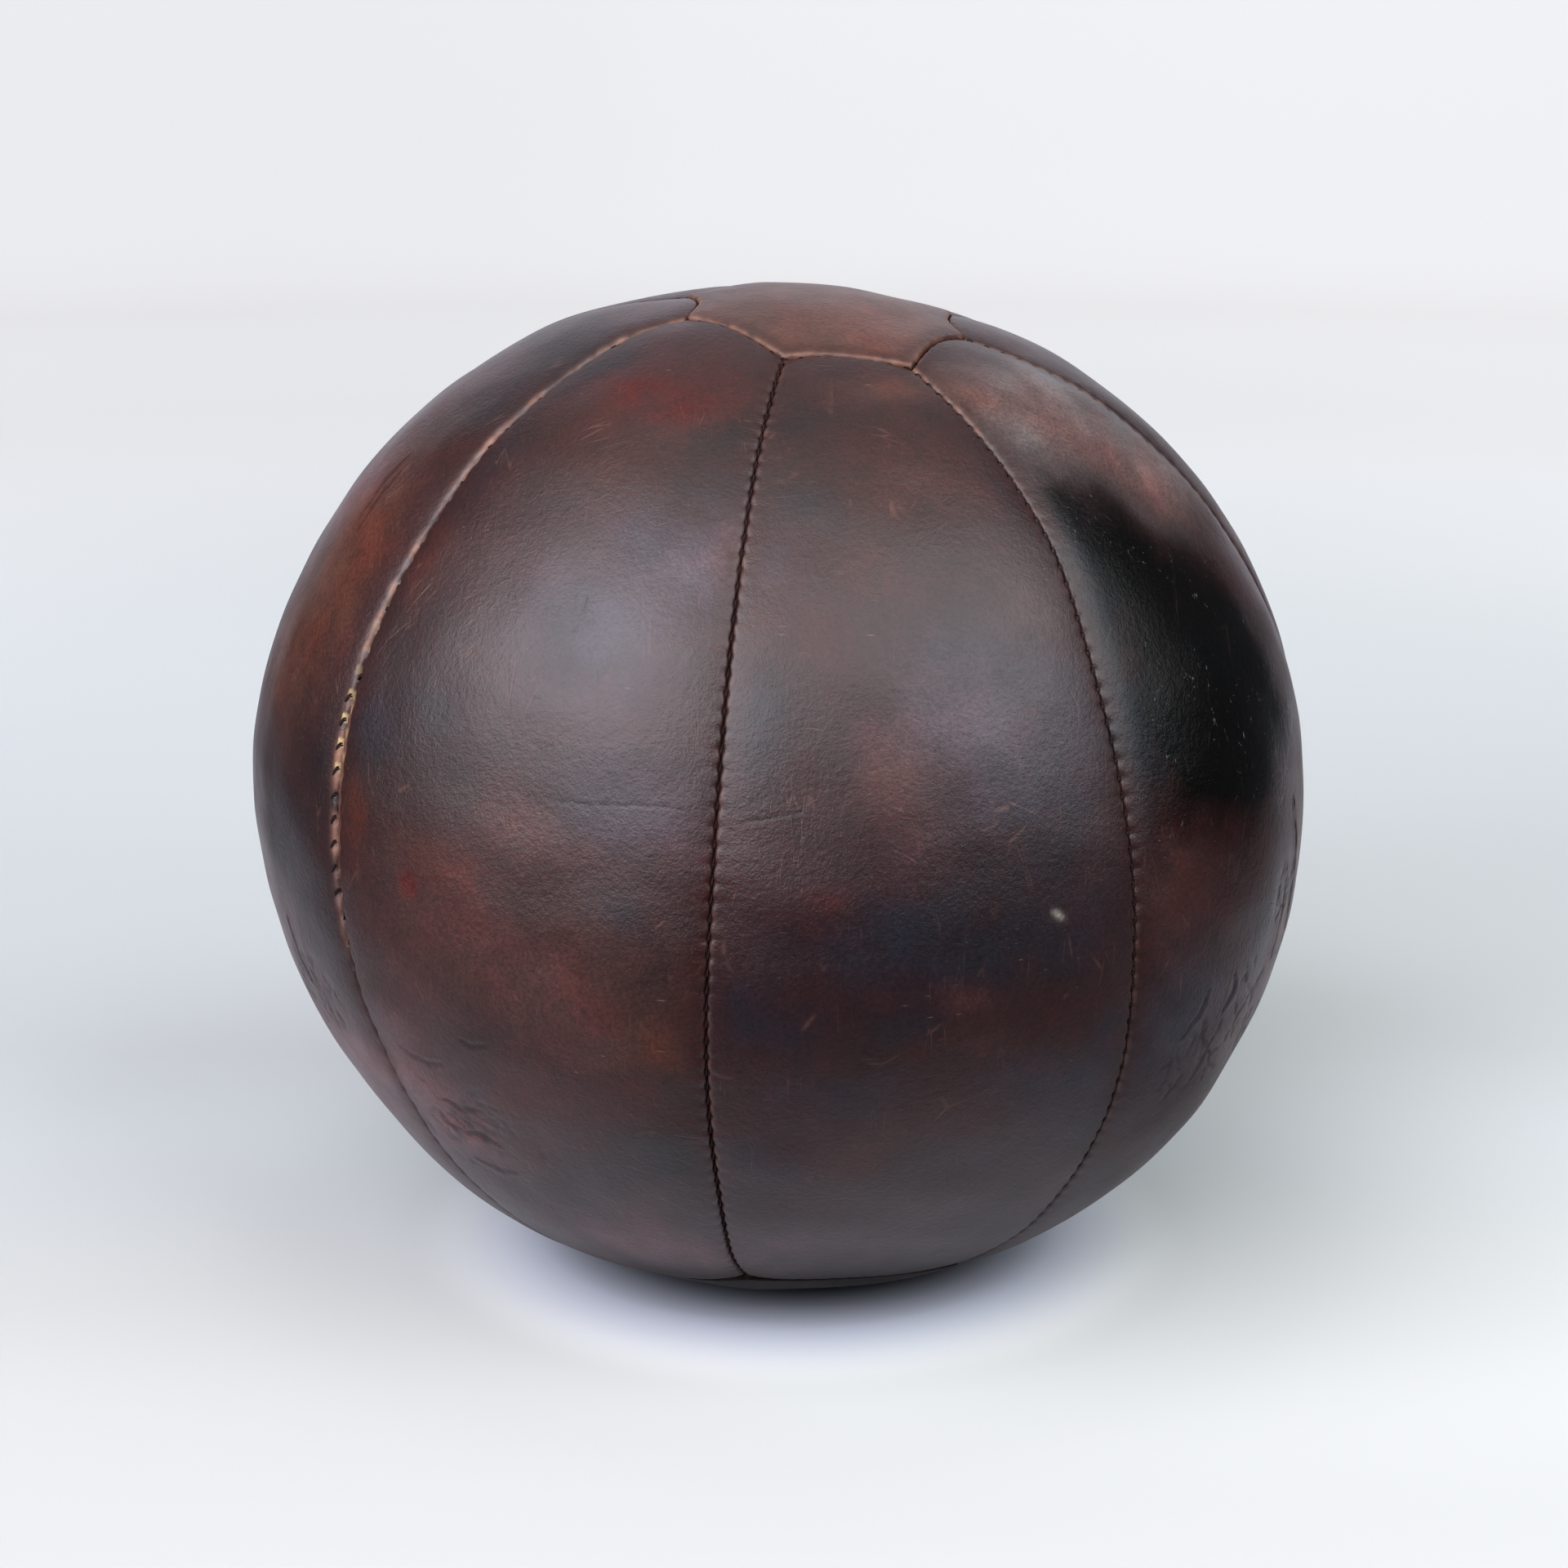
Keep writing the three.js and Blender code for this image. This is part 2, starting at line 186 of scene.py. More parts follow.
def ball_frame(lon, lat):
    """Points on the lumpy outer surface, and their outward normals."""
    n = direction(lon, lat)
    radius = radius_towards(n)
    normal = outward(n * radius[..., None])
    swell = LUMP_HEIGHT * LUMPS(n * BALL_RADIUS) + RIPPLE_HEIGHT * RIPPLES(n * BALL_RADIUS)
    level, slope = RING_SLOPE
    toward, upward = slope * n[..., 2] - level * n[..., 1], slope * n[..., 1] + level * n[..., 2]
    angle = (np.degrees(np.arctan2(upward, n[..., 0])) + 90) % 360 - 90
    swell = swell + through(OUTLINE_BULGE, angle) * np.exp(-(((toward - RING_PLACE) / RING_HALF) ** 2))
    point = n * (radius + swell)[..., None]
    height = point[..., 2] + CENTRE_HEIGHT
    blend = np.clip((height + BASE_BLEND) / (2 * BASE_BLEND), 0, 1)
    point[..., 2] = np.where(height > BASE_BLEND, height, BASE_BLEND * blend * blend)
    normal = np.stack([normal[..., 0] * blend, normal[..., 1] * blend, normal[..., 2]], -1)
    return point, normal / np.linalg.norm(normal, axis=-1, keepdims=True)


def ball_point(lon, lat, depth):
    point, normal = ball_frame(lon, lat)
    return point - normal * np.asarray(depth)[..., None]


def seam_lon(index, lat):
    seam = index % PANELS
    middle, drift, bow = GORE_SEAMS[seam]
    t = lat / 90
    lon = middle + drift * t + bow * t * t + 360 * (index // PANELS)
    if seam in SEAM_STRAY:
        lon = lon + through(SEAM_STRAY[seam], lat) / (MM_PER_DEGREE * np.cos(np.radians(lat)))
    return lon


def width_at(sector, lat):
    return (seam_lon(sector + 1, lat) - seam_lon(sector, lat)) * MM_PER_DEGREE * np.cos(np.radians(lat))


def sector_lon(sector, across, lat):
    left = seam_lon(sector, lat)
    return left + (seam_lon(sector + 1, lat) - left) * across


def edge_lat(end, sector, across):
    corners = TOP_CORNERS if end > 0 else BOTTOM_CORNERS
    left, right = corners[sector % PANELS], corners[(sector + 1) % PANELS]
    return end * (90 - (left + (right - left) * across) + CAP_EDGE_BOW * 4 * across * (1 - across))


# ---- Seams as lines to measure along ----


def marks_along(points):
    """Distance in mm from the first of a row of points to each."""
    steps = np.linalg.norm(np.diff(points, axis=0), axis=1)
    return np.concatenate([[0], np.cumsum(steps)])


class SeamLine:
    """A gore seam, measured in mm upwards from the bottom cap."""

    def __init__(self, index):
        self.index = index
        self.lats = np.linspace(edge_lat(-1, index, 0), edge_lat(1, index, 0), 900)
        self.marks = marks_along(ball_point(seam_lon(index, self.lats), self.lats, 0 * self.lats))
        self.length = self.marks[-1]

    def along(self, lat):
        return np.interp(lat, self.lats, self.marks)

    def lat_at(self, along):
        return np.interp(along, self.marks, self.lats)

    def place(self, along, side, depth):
        lat = self.lat_at(along)
        lon = seam_lon(self.index, lat) + side / (MM_PER_DEGREE * np.cos(np.radians(lat)))
        return ball_point(lon, lat, depth)


class CapLine:
    """A cap's edge, measured in mm round from seam 0. Side grows away from the cap."""

    def __init__(self, end):
        self.end = end
        self.turns = np.linspace(0, PANELS, 1601)
        lat, lon = self.spot(self.turns)
        self.marks = marks_along(ball_point(lon, lat, 0 * lat))
        self.length = self.marks[-1]

    def spot(self, turns):
        turns = np.asarray(turns) % PANELS
        sectors = np.minimum(np.floor(turns).astype(int), PANELS - 1)
        across = turns - sectors
        lat, lon = np.zeros_like(turns), np.zeros_like(turns)
        for sector in range(PANELS):
            here = sectors == sector
            lat[here] = edge_lat(self.end, sector, across[here])
            lon[here] = sector_lon(sector, across[here], lat[here])
        return lat, lon

    def turn_at(self, along):
        return np.interp(np.asarray(along) % self.length, self.marks, self.turns)

    def along(self, sector, across):
        return np.interp(sector % PANELS + across, self.turns, self.marks)

    def place(self, along, side, depth):
        lat, lon = self.spot(self.turn_at(along))
        return ball_point(lon, lat - self.end * side / MM_PER_DEGREE, depth)


SEAM_LINES = [SeamLine(index) for index in range(PANELS)]
CAP_LINES = {end: CapLine(end) for end in (1, -1)}

# ---- How the seams are sewn ----

STITCH = 5.3  # mm from stitch to stitch
CLOSING_STITCH = 7.3
GROOVE = 0.25  # half the gap between two rolled edges
ROLL = 1.0  # radius of a rolled edge
VALLEY = 1.2  # how far the panels dip towards a seam
VALLEY_REACH = 7.5
CAP_VALLEY = 0.6
PUCKER, CAP_PUCKER = 0.34, 0.12  # how far a stitch pulls an edge down
# The closing seam stands open between these latitudes, where its welt shows.
OPENING = ((-67, 0), (-13, 0), (-8, 0.45), (-2, 0.75), (8, 1), (13, 0.95), (17, 0.35), (24, 0.1), (60, 0), (74, 0))
OPEN_BY = 1.25


def stitch_pitch(index):
    return CLOSING_STITCH if index % PANELS == 0 else STITCH


def pull(along, pitch):
    """1 where a stitch pulls the edge down, 0 between stitches."""
    return (0.5 + 0.5 * np.cos(2 * math.pi * along / pitch)) ** 2


def roll_depth(distance, half_gap, radius):
    reach = np.clip((distance - half_gap) / radius, 0, 1)
    return radius * (1 - np.sqrt(np.clip(1 - (1 - reach) ** 2, 0, 1)))


def edge_profile(distance, along, half_gap, radius, pitch, pucker, valley):
    """How deep a panel's surface lies at a distance from a seam's middle."""
    inside = distance - half_gap
    pulled = pull(along, pitch)
    scallop = pucker * pulled * np.exp(-((inside / 1.3) ** 2))
    dimple = 0.22 * pucker * pulled * np.exp(-((inside / 3.6) ** 2))
    dip = valley * np.exp(-np.maximum(inside, 0) / VALLEY_REACH)
    return roll_depth(distance - 0.8 * pucker * pulled, half_gap, radius), dip + scallop + dimple


# ---- Meshes ----


def make_object(name, points, faces, material, attributes=None):
    """points in mm; faces a list of index arrays of triangles or quads."""
    mesh = bpy.data.meshes.new(name)
    mesh.vertices.add(len(points))
    mesh.vertices.foreach_set("co", (np.asarray(points) / 1000).astype(np.float32).ravel())
    loops = np.concatenate([np.asarray(f).ravel() for f in faces])
    sizes = np.concatenate([np.full(len(f), np.asarray(f).shape[1]) for f in faces])
    mesh.loops.add(len(loops))
    mesh.loops.foreach_set("vertex_index", loops.astype(np.int32))
    mesh.polygons.add(len(sizes))
    starts = np.concatenate([[0], np.cumsum(sizes)[:-1]])
    mesh.polygons.foreach_set("loop_start", starts.astype(np.int32))
    mesh.polygons.foreach_set("use_smooth", np.ones(len(sizes), bool))
    mesh.update(calc_edges=True)
    mesh.validate()
    for key, values in (attributes or {}).items():
        values = np.asarray(values, np.float32)
        if values.ndim == 2:
            rgba = np.concatenate([values, np.ones((len(values), 1), np.float32)], 1)
            mesh.attributes.new(key, "FLOAT_COLOR", "POINT").data.foreach_set("color", rgba.ravel())
        else:
            mesh.attributes.new(key, "FLOAT", "POINT").data.foreach_set("value", values)
    mesh.materials.append(material)
    obj = bpy.data.objects.new(name, mesh)
    bpy.context.scene.collection.objects.link(obj)
    return obj


def grid_faces(ids, flip=False, closed=False):
    a = ids if not closed else np.concatenate([ids, ids[:, :1]], 1)
    quads = np.stack([a[:-1, :-1], a[:-1, 1:], a[1:, 1:], a[1:, :-1]], -1).reshape(-1, 4)
    return quads[:, ::-1] if flip else quads


def fan(ring, tip, flip):
    """Triangles from a closed ring of ids to one point."""
    a, b = (np.roll(ring, -1), ring) if flip else (ring, np.roll(ring, -1))
    return np.stack([a, b, np.full(len(ring), tip)], -1)


def every(count, step):
    """Each step-th number below count, and the last."""
    return np.unique(np.concatenate([np.arange(0, count, step), [count - 1]]))


def zip_rims(fine, coarse, positions):
    """Triangles between a closed fine rim and a coarse one whose points sit at some of its places."""
    triangles = []
    count = len(fine)
    for k, start in enumerate(positions):
        a, b = coarse[k], coarse[(k + 1) % len(coarse)]
        stop = positions[(k + 1) % len(positions)]
        stop = stop if stop > start else stop + count
        middle = (start + stop) // 2
        for i in range(start, stop):
            triangles.append((fine[i % count], a if i < middle else b, fine[(i + 1) % count]))
        triangles.append((fine[middle % count], a, b))
    return np.array(triangles)


def rim_of(ids):
    return np.concatenate([ids[0, :-1], ids[:-1, -1], ids[-1, :0:-1], ids[:0:-1, 0]])


def tube(path, radius, sides):
    """Points and faces of a closed round tube along a path of points."""
    tangent = np.gradient(path, axis=0)
    tangent /= np.linalg.norm(tangent, axis=1, keepdims=True)
    guide = np.cross(tangent, path[len(path) // 2] - np.array([0, 0, CENTRE_HEIGHT]))
    guide /= np.linalg.norm(guide, axis=1, keepdims=True)
    other = np.cross(tangent, guide)
    turn = np.arange(sides) * 2 * math.pi / sides
    ring = guide[:, None] * np.cos(turn)[None, :, None] + other[:, None] * np.sin(turn)[None, :, None]
    points = path[:, None] + ring * radius
    ids = np.arange(len(path) * sides).reshape(len(path), sides)
    tips = np.array([len(path) * sides, len(path) * sides + 1])
    points = np.concatenate([points.reshape(-1, 3), path[:1], path[-1:]])
    ends = np.concatenate([fan(ids[0], tips[0], True), fan(ids[-1], tips[1], False)])
    return points, grid_faces(ids, closed=True), ends


class Parts:
    """Closed shells gathered into one piece."""

    def __init__(self):
        self.points, self.quads, self.triangles, self.count = [], [], [], 0

    def add(self, points, quads, triangles=None):
        self.points.append(points)
        self.quads.append(quads + self.count)
        if triangles is not None:
            self.triangles.append(triangles + self.count)
        self.count += len(points)

    def build(self, name, material):
        faces = [np.concatenate(f) for f in (self.quads, self.triangles) if f]
        return make_object(name, np.concatenate(self.points), faces, material)


# ---- Dye and wear ----


def rgb(red, green, blue):
    """A colour given as 0-255 display values, made linear."""
    c = np.array([red, green, blue]) / 255
    return np.where(c <= 0.04045, c / 12.92, ((c + 0.055) / 1.055) ** 2.4)


DYE = {
    "brown": rgb(30, 9, 8),
    "umber": rgb(50, 26, 23),
    "tan": rgb(58, 33, 24),
    "rust": rgb(52, 19, 10),
    "red": rgb(66, 8, 6),
    "burgundy": rgb(35, 10, 9),
    "pink": rgb(71, 47, 49),
    "grey": rgb(68, 54, 50),
    "slate": rgb(35, 30, 38),
    "indigo": rgb(17, 13, 19),
    "plum": rgb(15, 6, 9),
    "black": rgb(2, 2, 2),
    "smoke": rgb(5, 16, 23),
    # painted shade, deep red-brown, towards the seams
    "valley": rgb(28, 6, 5),
    "worn": rgb(104, 76, 67),
    "flesh": rgb(110, 76, 50),
    "ash": rgb(80, 68, 66),
    "paint": rgb(112, 106, 98),
}
# Where the dye has gone patchy: (across, latitude, half width and half height in mm, turn in
# degrees, dye, strength).
PATCHES = {
    0: (
        (0.35, 67, 24, 9, 0, "burgundy", 0.6),
        (0.37, 60.5, 19, 8, 35, "red", 0.42),
        (0.70, 60, 16, 9, 30, "red", 0.28),
        (0.34, 54, 15, 12, 20, "rust", 0.35),
        (0.08, 60, 11, 20, -20, "plum", 0.85),
        (0.10, 47, 12, 22, 0, "plum", 0.75),
        (0.93, 56, 12, 10, 0, "plum", 0.7),
        (0.36, 45, 14, 12, 0, "umber", 0.25),
        (0.84, 41, 22, 17, 0, "slate", 0.9),
        (0.93, 43, 10, 12, 0, "pink", 0.5),
        (0.88, 50, 12, 8, 0, "indigo", 0.7),
        (0.66, 30, 20, 18, -20, "slate", 0.8),
        (0.08, 31, 12, 14, 0, "rust", 0.45),
        (0.28, 19, 18, 20, 0, "plum", 0.8),
        (0.10, 14, 14, 12, 0, "indigo", 0.9),
        (0.80, 13, 22, 14, 0, "slate", 0.6),
        (0.62, 7, 20, 10, 0, "umber", 0.6),
        (0.06, 2.5, 11, 9, 0, "rust", 0.95),
        (0.36, 2, 14, 8, 0, "rust", 0.7),
        (0.27, -1.5, 5, 4, 40, "red", 0.8),
        (0.07, -9, 12, 9, 0, "plum", 0.8),
        (0.58, -9, 56, 27, 0, "umber", 0.95),
        (0.82, 1, 8, 6, 0, "indigo", 0.5),
        (0.90, -15, 12, 10, 0, "tan", 0.7),
        (0.76, -19, 10, 7, 0, "burgundy", 0.5),
        (0.50, -24, 20, 10, 0, "burgundy", 0.5),
        (0.12, -21, 16, 12, 0, "pink", 0.5),
        (0.12, -32, 28, 22, 0, "pink", 0.95),
        (0.44, -34, 18, 20, 0, "umber", 0.6),
        (0.86, -33, 22, 14, 10, "black", 0.85),
        (0.62, -40, 16, 8, 10, "indigo", 0.5),
        (0.80, -52, 44, 14, 0, "pink", 0.95),
        (0.10, -52, 22, 16, 0, "plum", 0.8),
    ),
    1: (
        (0.86, 68, 14, 8, 0, "tan", 0.8),
        (0.55, 66, 14, 8, 0, "umber", 0.4),
        (0.10, 57, 15, 18, 0, "plum", 0.85),
        (0.92, 57, 11, 10, 0, "burgundy", 0.7),
        (0.55, 51, 20, 9, 0, "umber", 0.4),
        (0.22, 47, 11, 8, 0, "indigo", 0.7),
        (0.14, 50, 16, 10, 0, "plum", 0.5),
        (0.95, 51, 9, 16, 0, "plum", 0.85),
        (0.08, 41, 9, 9, 0, "slate", 0.5),
        (0.40, 41, 14, 10, 0, "burgundy", 0.5),
        (0.72, 25, 34, 34, 0, "slate", 0.95),
        (0.40, 19, 14, 15, 0, "umber", 0.7),
        (0.90, 38, 12, 12, 0, "grey", 0.3),
        (0.06, 23, 9, 24, 0, "plum", 0.85),
        (0.56, 2, 62, 21, 0, "indigo", 1.0),
        (0.62, 24, 26, 16, 0, "pink", 0.3),
        (0.22, 5, 10, 10, 0, "burgundy", 0.4),
        (0.24, 6.5, 5, 4, 0, "red", 0.2),
        (0.12, -9, 20, 14, 0, "indigo", 0.85),
        (0.40, -9, 14, 8, 0, "indigo", 0.7),
        (0.57, -6, 12, 7, 0, "umber", 0.5),
        (0.62, -12, 16, 8, 0, "umber", 0.4),
        (0.92, -10, 12, 10, 0, "indigo", 0.8),
        (0.82, -18, 22, 13, 0, "slate", 0.85),
        (0.30, -19, 22, 10, 0, "slate", 0.5),
        (0.38, -27, 16, 10, 0, "umber", 0.5),
        (0.08, -30, 16, 13, 0, "indigo", 0.8),
        (0.62, -31, 22, 12, 0, "indigo", 0.4),
        (0.92, -26, 12, 10, 0, "slate", 0.7),
        (0.28, -48, 36, 12, 0, "pink", 0.55),
        (0.85, -48, 26, 14, 0, "plum", 0.8),
        # Painted shadow: a black band along the underside, towards the floor.
        (0.60, -60, 50, 8, 0, "black", 0.8),
        (0.775, 4.0, 1.9, 1.1, -35, "paint", 0.9),
    ),
    2: (
        (0.55, 62, 40, 26, 0, "ash", 0.9),
        (0.08, 66, 12, 12, 0, "tan", 0.6),
        (0.74, 48, 26, 20, 0, "ash", 0.9),
        (0.10, 42, 16, 22, 10, "smoke", 0.9),
        (0.14, 46, 24, 17, 15, "black", 0.9),
        (0.28, 39, 27, 24, -15, "black", 1.3),
        (0.38, 24, 35, 40, 0, "black", 2.0),
        (0.04, 27, 10, 48, 0, "smoke", 0.75),
        (0.12, 4, 20, 12, 0, "umber", 0.7),
        (0.30, 4, 26, 10, 0, "burgundy", 0.8),
        (0.50, -5, 11, 20, 0, "plum", 0.7),
        (0.80, 2, 12, 20, 0, "grey", 0.8),
        (0.20, -14, 26, 24, 0, "slate", 0.9),
        (0.50, -20, 26, 16, 0, "grey", 0.6),
        (0.66, -8, 10, 16, 0, "grey", 0.7),
        (0.20, -30, 20, 10, 0, "umber", 0.5),
    ),
    7: (
        (0.60, 25, 27, 42, 0, "tan", 1.0),
        (0.42, 32, 14, 24, 0, "pink", 0.7),
        (0.94, 26, 12, 34, 0, "burgundy", 0.9),
        (0.93, 8, 13, 14, 0, "plum", 0.9),
        (0.74, 52, 22, 14, 0, "plum", 0.6),
        (0.78, 60, 30, 16, 0, "plum", 0.8),
        (0.80, -6, 46, 26, 0, "plum", 0.95),
        (0.84, -32, 40, 22, 0, "pink", 0.95),
    ),
}


def random_patches(seed):
    """Patches for the panels that no view of the real ball shows."""
    rng = np.random.default_rng(seed)
    dyes = ("rust", "burgundy", "umber", "umber", "plum", "indigo", "slate", "tan", "pink")
    patches = []
    for _ in range(26):
        half_x, half_y = rng.uniform(9, 30), rng.uniform(8, 24)
        dye = dyes[rng.integers(len(dyes))]
        across, lat, turn = rng.uniform(0, 1), rng.uniform(-60, 66), rng.uniform(-60, 60)
        patches.append((across, lat, half_x, half_y, turn, dye, rng.uniform(0.35, 0.85)))
    return tuple(patches)


def dyed(points, patches, place_of):
    """Colour at points; place_of gives a patch's offsets from its middle in mm."""
    colour = np.broadcast_to(DYE["brown"], points.shape).copy()
    fine = WARP_FINE(points)
    warp_x, warp_y = 6 * WARP_X(points) + 1.5 * fine, 6 * WARP_Y(points) - 1.5 * fine
    breakup = 1 + 0.25 * PATCHY(points)
    for patch in patches:
        half_x, half_y, turn, dye, strength = patch[2:]
        x, y = place_of(patch)
        small = min(1.0, min(half_x, half_y) / 8)
        x, y = x + warp_x * small, y + warp_y * small
        c, s = math.cos(math.radians(turn)), math.sin(math.radians(turn))
        reach = ((x * c + y * s) / half_x) ** 2 + ((y * c - x * s) / half_y) ** 2
        share = np.clip(strength * breakup * np.exp(-(reach**1.1)), 0, 1)[..., None]
        colour = colour * (1 - share) + DYE[dye] * share
    # Soft mottling everywhere: paler and darker, redder and browner.
    pale, ruddy = 0.2 * MOTTLE(points), REDNESS(points)
    mottle = np.stack([pale + 0.12 * ruddy, pale - 0.1 * ruddy, pale - 0.14 * ruddy], -1)
    return colour * np.exp(mottle)


# Creases: sector, places (across, latitude), depth and half width in mm.
CREASES = (
    (0, ((0.60, 11.5), (0.72, 12.2), (0.82, 13.2), (0.93, 13.6)), 0.06, 0.5),
    # Short dark scars in the highlight.
    (0, ((0.607, 34.2), (0.615, 32.2)), 0.22, 0.5),
    (0, ((0.612, 30.6), (0.606, 29.9)), 0.2, 0.5),
    (0, ((0.604, 29.3), (0.61, 28.2)), 0.2, 0.5),
    (0, ((0.617, 24.2), (0.613, 23.4)), 0.2, 0.5),
    (0, ((0.62, 22.4), (0.622, 21.5)), 0.2, 0.5),
    (0, ((0.635, 20.7), (0.64, 20.1)), 0.2, 0.5),
    (0, ((0.885, 32.4), (0.86, 31.1)), 0.12, 0.5),
    (1, ((0.47, 49.2), (0.505, 47.8)), 0.15, 0.5),
    (1, ((0.04, 13.0), (0.09, 13.4), (0.15, 14.3), (0.19, 14.8)), 0.07, 0.5),
    (0, ((0.20, -29), (0.28, -29.6), (0.34, -29.2)), 0.35, 0.9),
    (0, ((0.17, -33), (0.25, -34), (0.30, -33.4), (0.36, -34.6)), 0.45, 1.0),
    (0, ((0.22, -38), (0.30, -39.2), (0.37, -38.8)), 0.4, 1.0),
    (0, ((0.12, -23), (0.22, -24), (0.27, -23.4)), 0.3, 0.9),
    (0, ((0.36, -19), (0.40, -19.3), (0.45, -18.6)), 0.25, 0.8),
    (2, ((0.69, 9), (0.71, 3), (0.72, -3), (0.71, -8)), 0.5, 0.9),
    (2, ((0.62, 2), (0.62, -4), (0.60, -9)), 0.3, 0.9),
    (2, ((0.26, -9), (0.24, -12), (0.19, -15)), 0.35, 0.9),
    (2, ((0.37, -8), (0.38, -11), (0.36, -13)), 0.35, 0.9),
    (7, ((0.62, 40), (0.60, 36), (0.61, 31)), 0.22, 0.9),
    (7, ((0.66, 38), (0.645, 34), (0.65, 30)), 0.18, 0.8),
    (7, ((0.62, -14), (0.63, -18), (0.66, -21)), 0.4, 1.0),
)
# Where the finish is crazed into a network: sector, across, latitude, half width and height in mm.
CRAZED = ((2, 0.40, -17, 36, 26), (2, 0.62, -4, 14, 24), (0, 0.26, -33, 26, 22), (7, 0.7, -22, 20, 16))


def crease_depth(sector, across, lat, points):
    """How deep the creases are, and how strongly painted shade darkens them."""
    depth, dirt = np.zeros(lat.shape), np.zeros(lat.shape)
    wiggle = 0.8 * WARP_FINE(points)
    for home, places, deep, half in CREASES:
        if home != sector:
            continue
        middle = np.mean([place[1] for place in places])
        width = float(width_at(sector, middle))
        x, y = across * width + wiggle, lat * MM_PER_DEGREE + 0.5 * wiggle
        line = np.array([(a * width, b * MM_PER_DEGREE) for a, b in places])
        nearest = np.full(lat.shape, 1e9)
        marks = np.linspace(0, 1, len(line))
        for k in range(len(line) - 1):
            way = line[k + 1] - line[k]
            t = np.clip(((x - line[k, 0]) * way[0] + (y - line[k, 1]) * way[1]) / (way @ way), 0, 1)
            gap = np.hypot(x - line[k, 0] - t * way[0], y - line[k, 1] - t * way[1])
            taper = np.sin(math.pi * np.clip(marks[k] + t * (marks[k + 1] - marks[k]), 0.08, 0.92)) ** 0.5
            nearest = np.minimum(nearest, gap / taper)
        raised = 0.35 * np.exp(-(((nearest - 2.6 * half) / half) ** 2))
        depth += deep * (np.exp(-((nearest / half) ** 2)) - raised)
        dirt = np.maximum(dirt, np.exp(-((nearest / (0.8 * half)) ** 2)))
    return depth, dirt


def crazing(sector, across, lat, points):
    """A network of fine cracks with raised flakes between them, and painted shade along the cracks."""
    depth, dirt = np.zeros(lat.shape), np.zeros(lat.shape)
    rng = np.random.default_rng(40 + sector)
    for home, across_0, lat_0, half_x, half_y in CRAZED:
        if home != sector:
            continue
        width = float(width_at(sector, lat_0))
        x, y = (across - across_0) * width, (lat - lat_0) * MM_PER_DEGREE
        reach = (x / half_x) ** 2 + (y / half_y) ** 2
        mask = smoothstep(1.25, 0.45, reach + 0.35 * PATCHY(points))
        near = mask > 0.01
        x, y = x[near] + 2.2 * WARP_FINE(points[near]), y[near] + 2.2 * WARP_X(points[near])
        u, v = 0.87 * x + 0.5 * y, (0.87 * y - 0.5 * x) * 0.62
        seeds = rng.uniform(-1.3, 1.3, (170, 2)) * max(half_x, half_y)
        gaps = np.sqrt((u[:, None] - seeds[:, 0]) ** 2 + (v[:, None] - seeds[:, 1]) ** 2)
        gaps.partition(1, axis=1)
        edge = np.exp(-(((gaps[:, 1] - gaps[:, 0]) / 0.9) ** 2)) * smoothstep(-0.5, 0.25, WEAR(points[near]))
        depth[near] += 0.32 * edge * mask[near]
        dirt[near] = np.maximum(dirt[near], 0.9 * edge * mask[near])
    return depth, dirt


def skin_attributes(colour, inner_count, tip_dyes=(), **traits):
    """Looks of a leather skin's outer points, of its plain flesh side and of the two points closing a cap."""
    plain = np.zeros(inner_count + len(tip_dyes))
    outer = colour.shape[:-1]
    dye = np.concatenate([colour.reshape(-1, 3), np.tile(DYE["flesh"], (inner_count, 1)), *([d] for d in tip_dyes)])
    attributes = {"dye": dye}
    for key in LEATHER_TRAITS:
        attributes[key] = np.concatenate([np.broadcast_to(traits.get(key, 0.0), outer).ravel(), plain])
    attributes["flesh"] = np.concatenate([np.zeros(outer).ravel(), np.ones(inner_count), np.arange(len(tip_dyes))])
    return attributes


# ---- Panels ----

LEATHER_TRAITS = ("worn", "dirt", "gloss", "warm", "cream", "dull")

EDGE_LINES = np.array([0, 0.12, 0.35, 0.65, 1.0, 1.45, 2.0, 2.7, 3.6, 4.8, 6.2, 7.8, 9.6, 11.6])
# How worn each side of a gore seam is, at the (left, right) panel's edge.
SEAM_WEAR = {0: (0.95, 0.12), 1: (0.1, 0.3), 2: (0.08, 0.12), 3: (0.1, 0.3)}
BLACK_PANEL = 2  # the panel with the polished black patch
UNSEEN_WEAR = (0.4, 0.5)
TOP_WEAR, BOTTOM_WEAR = (0.6, 0.3), (0.05, 0.08)  # on a cap's own edge, on the gores' edges
SKIN = LEATHER + 0.35  # depth of the flesh side where there is no hem
GORE_LINES = (100, 370 / 0.85)  # grid lines across and along a gore, besides the crowded ones, at 1 mm
PICK_ACROSS, PICK_ALONG = 4, 5  # the flesh side keeps every fourth and fifth grid line
CAP_PER_SIDE, CAP_RINGS = 34, 34
CAP_MIDDLE = 0.985  # share of the way to the pole where a cap's rings stop and a fan closes it


def line_places(index, count, length, gap_low, gap_high):
    """Distances from one edge of the grid lines numbered index, crowded towards both edges."""
    last = len(EDGE_LINES) - 1
    near = EDGE_LINES[np.minimum(index, last)]
    far = EDGE_LINES[np.minimum(count - 1 - index, last)]
    first, final = gap_low + EDGE_LINES[-1], length - gap_high - EDGE_LINES[-1]
    middle = first + (final - first) * (index - last) / (count - 1 - 2 * last)
    upper = np.where(index >= count - 1 - last, length - gap_high - far, middle)
    return np.where(index <= last, gap_low + near, upper)


def side_gaps(sector, lat):
    """Half the gap at a gore's left and right edge."""
    left, right = GROOVE + 0 * lat, GROOVE + 0 * lat
    if sector == PANELS - 1:
        right = right + OPEN_BY * through(OPENING, lat)
    return left, right


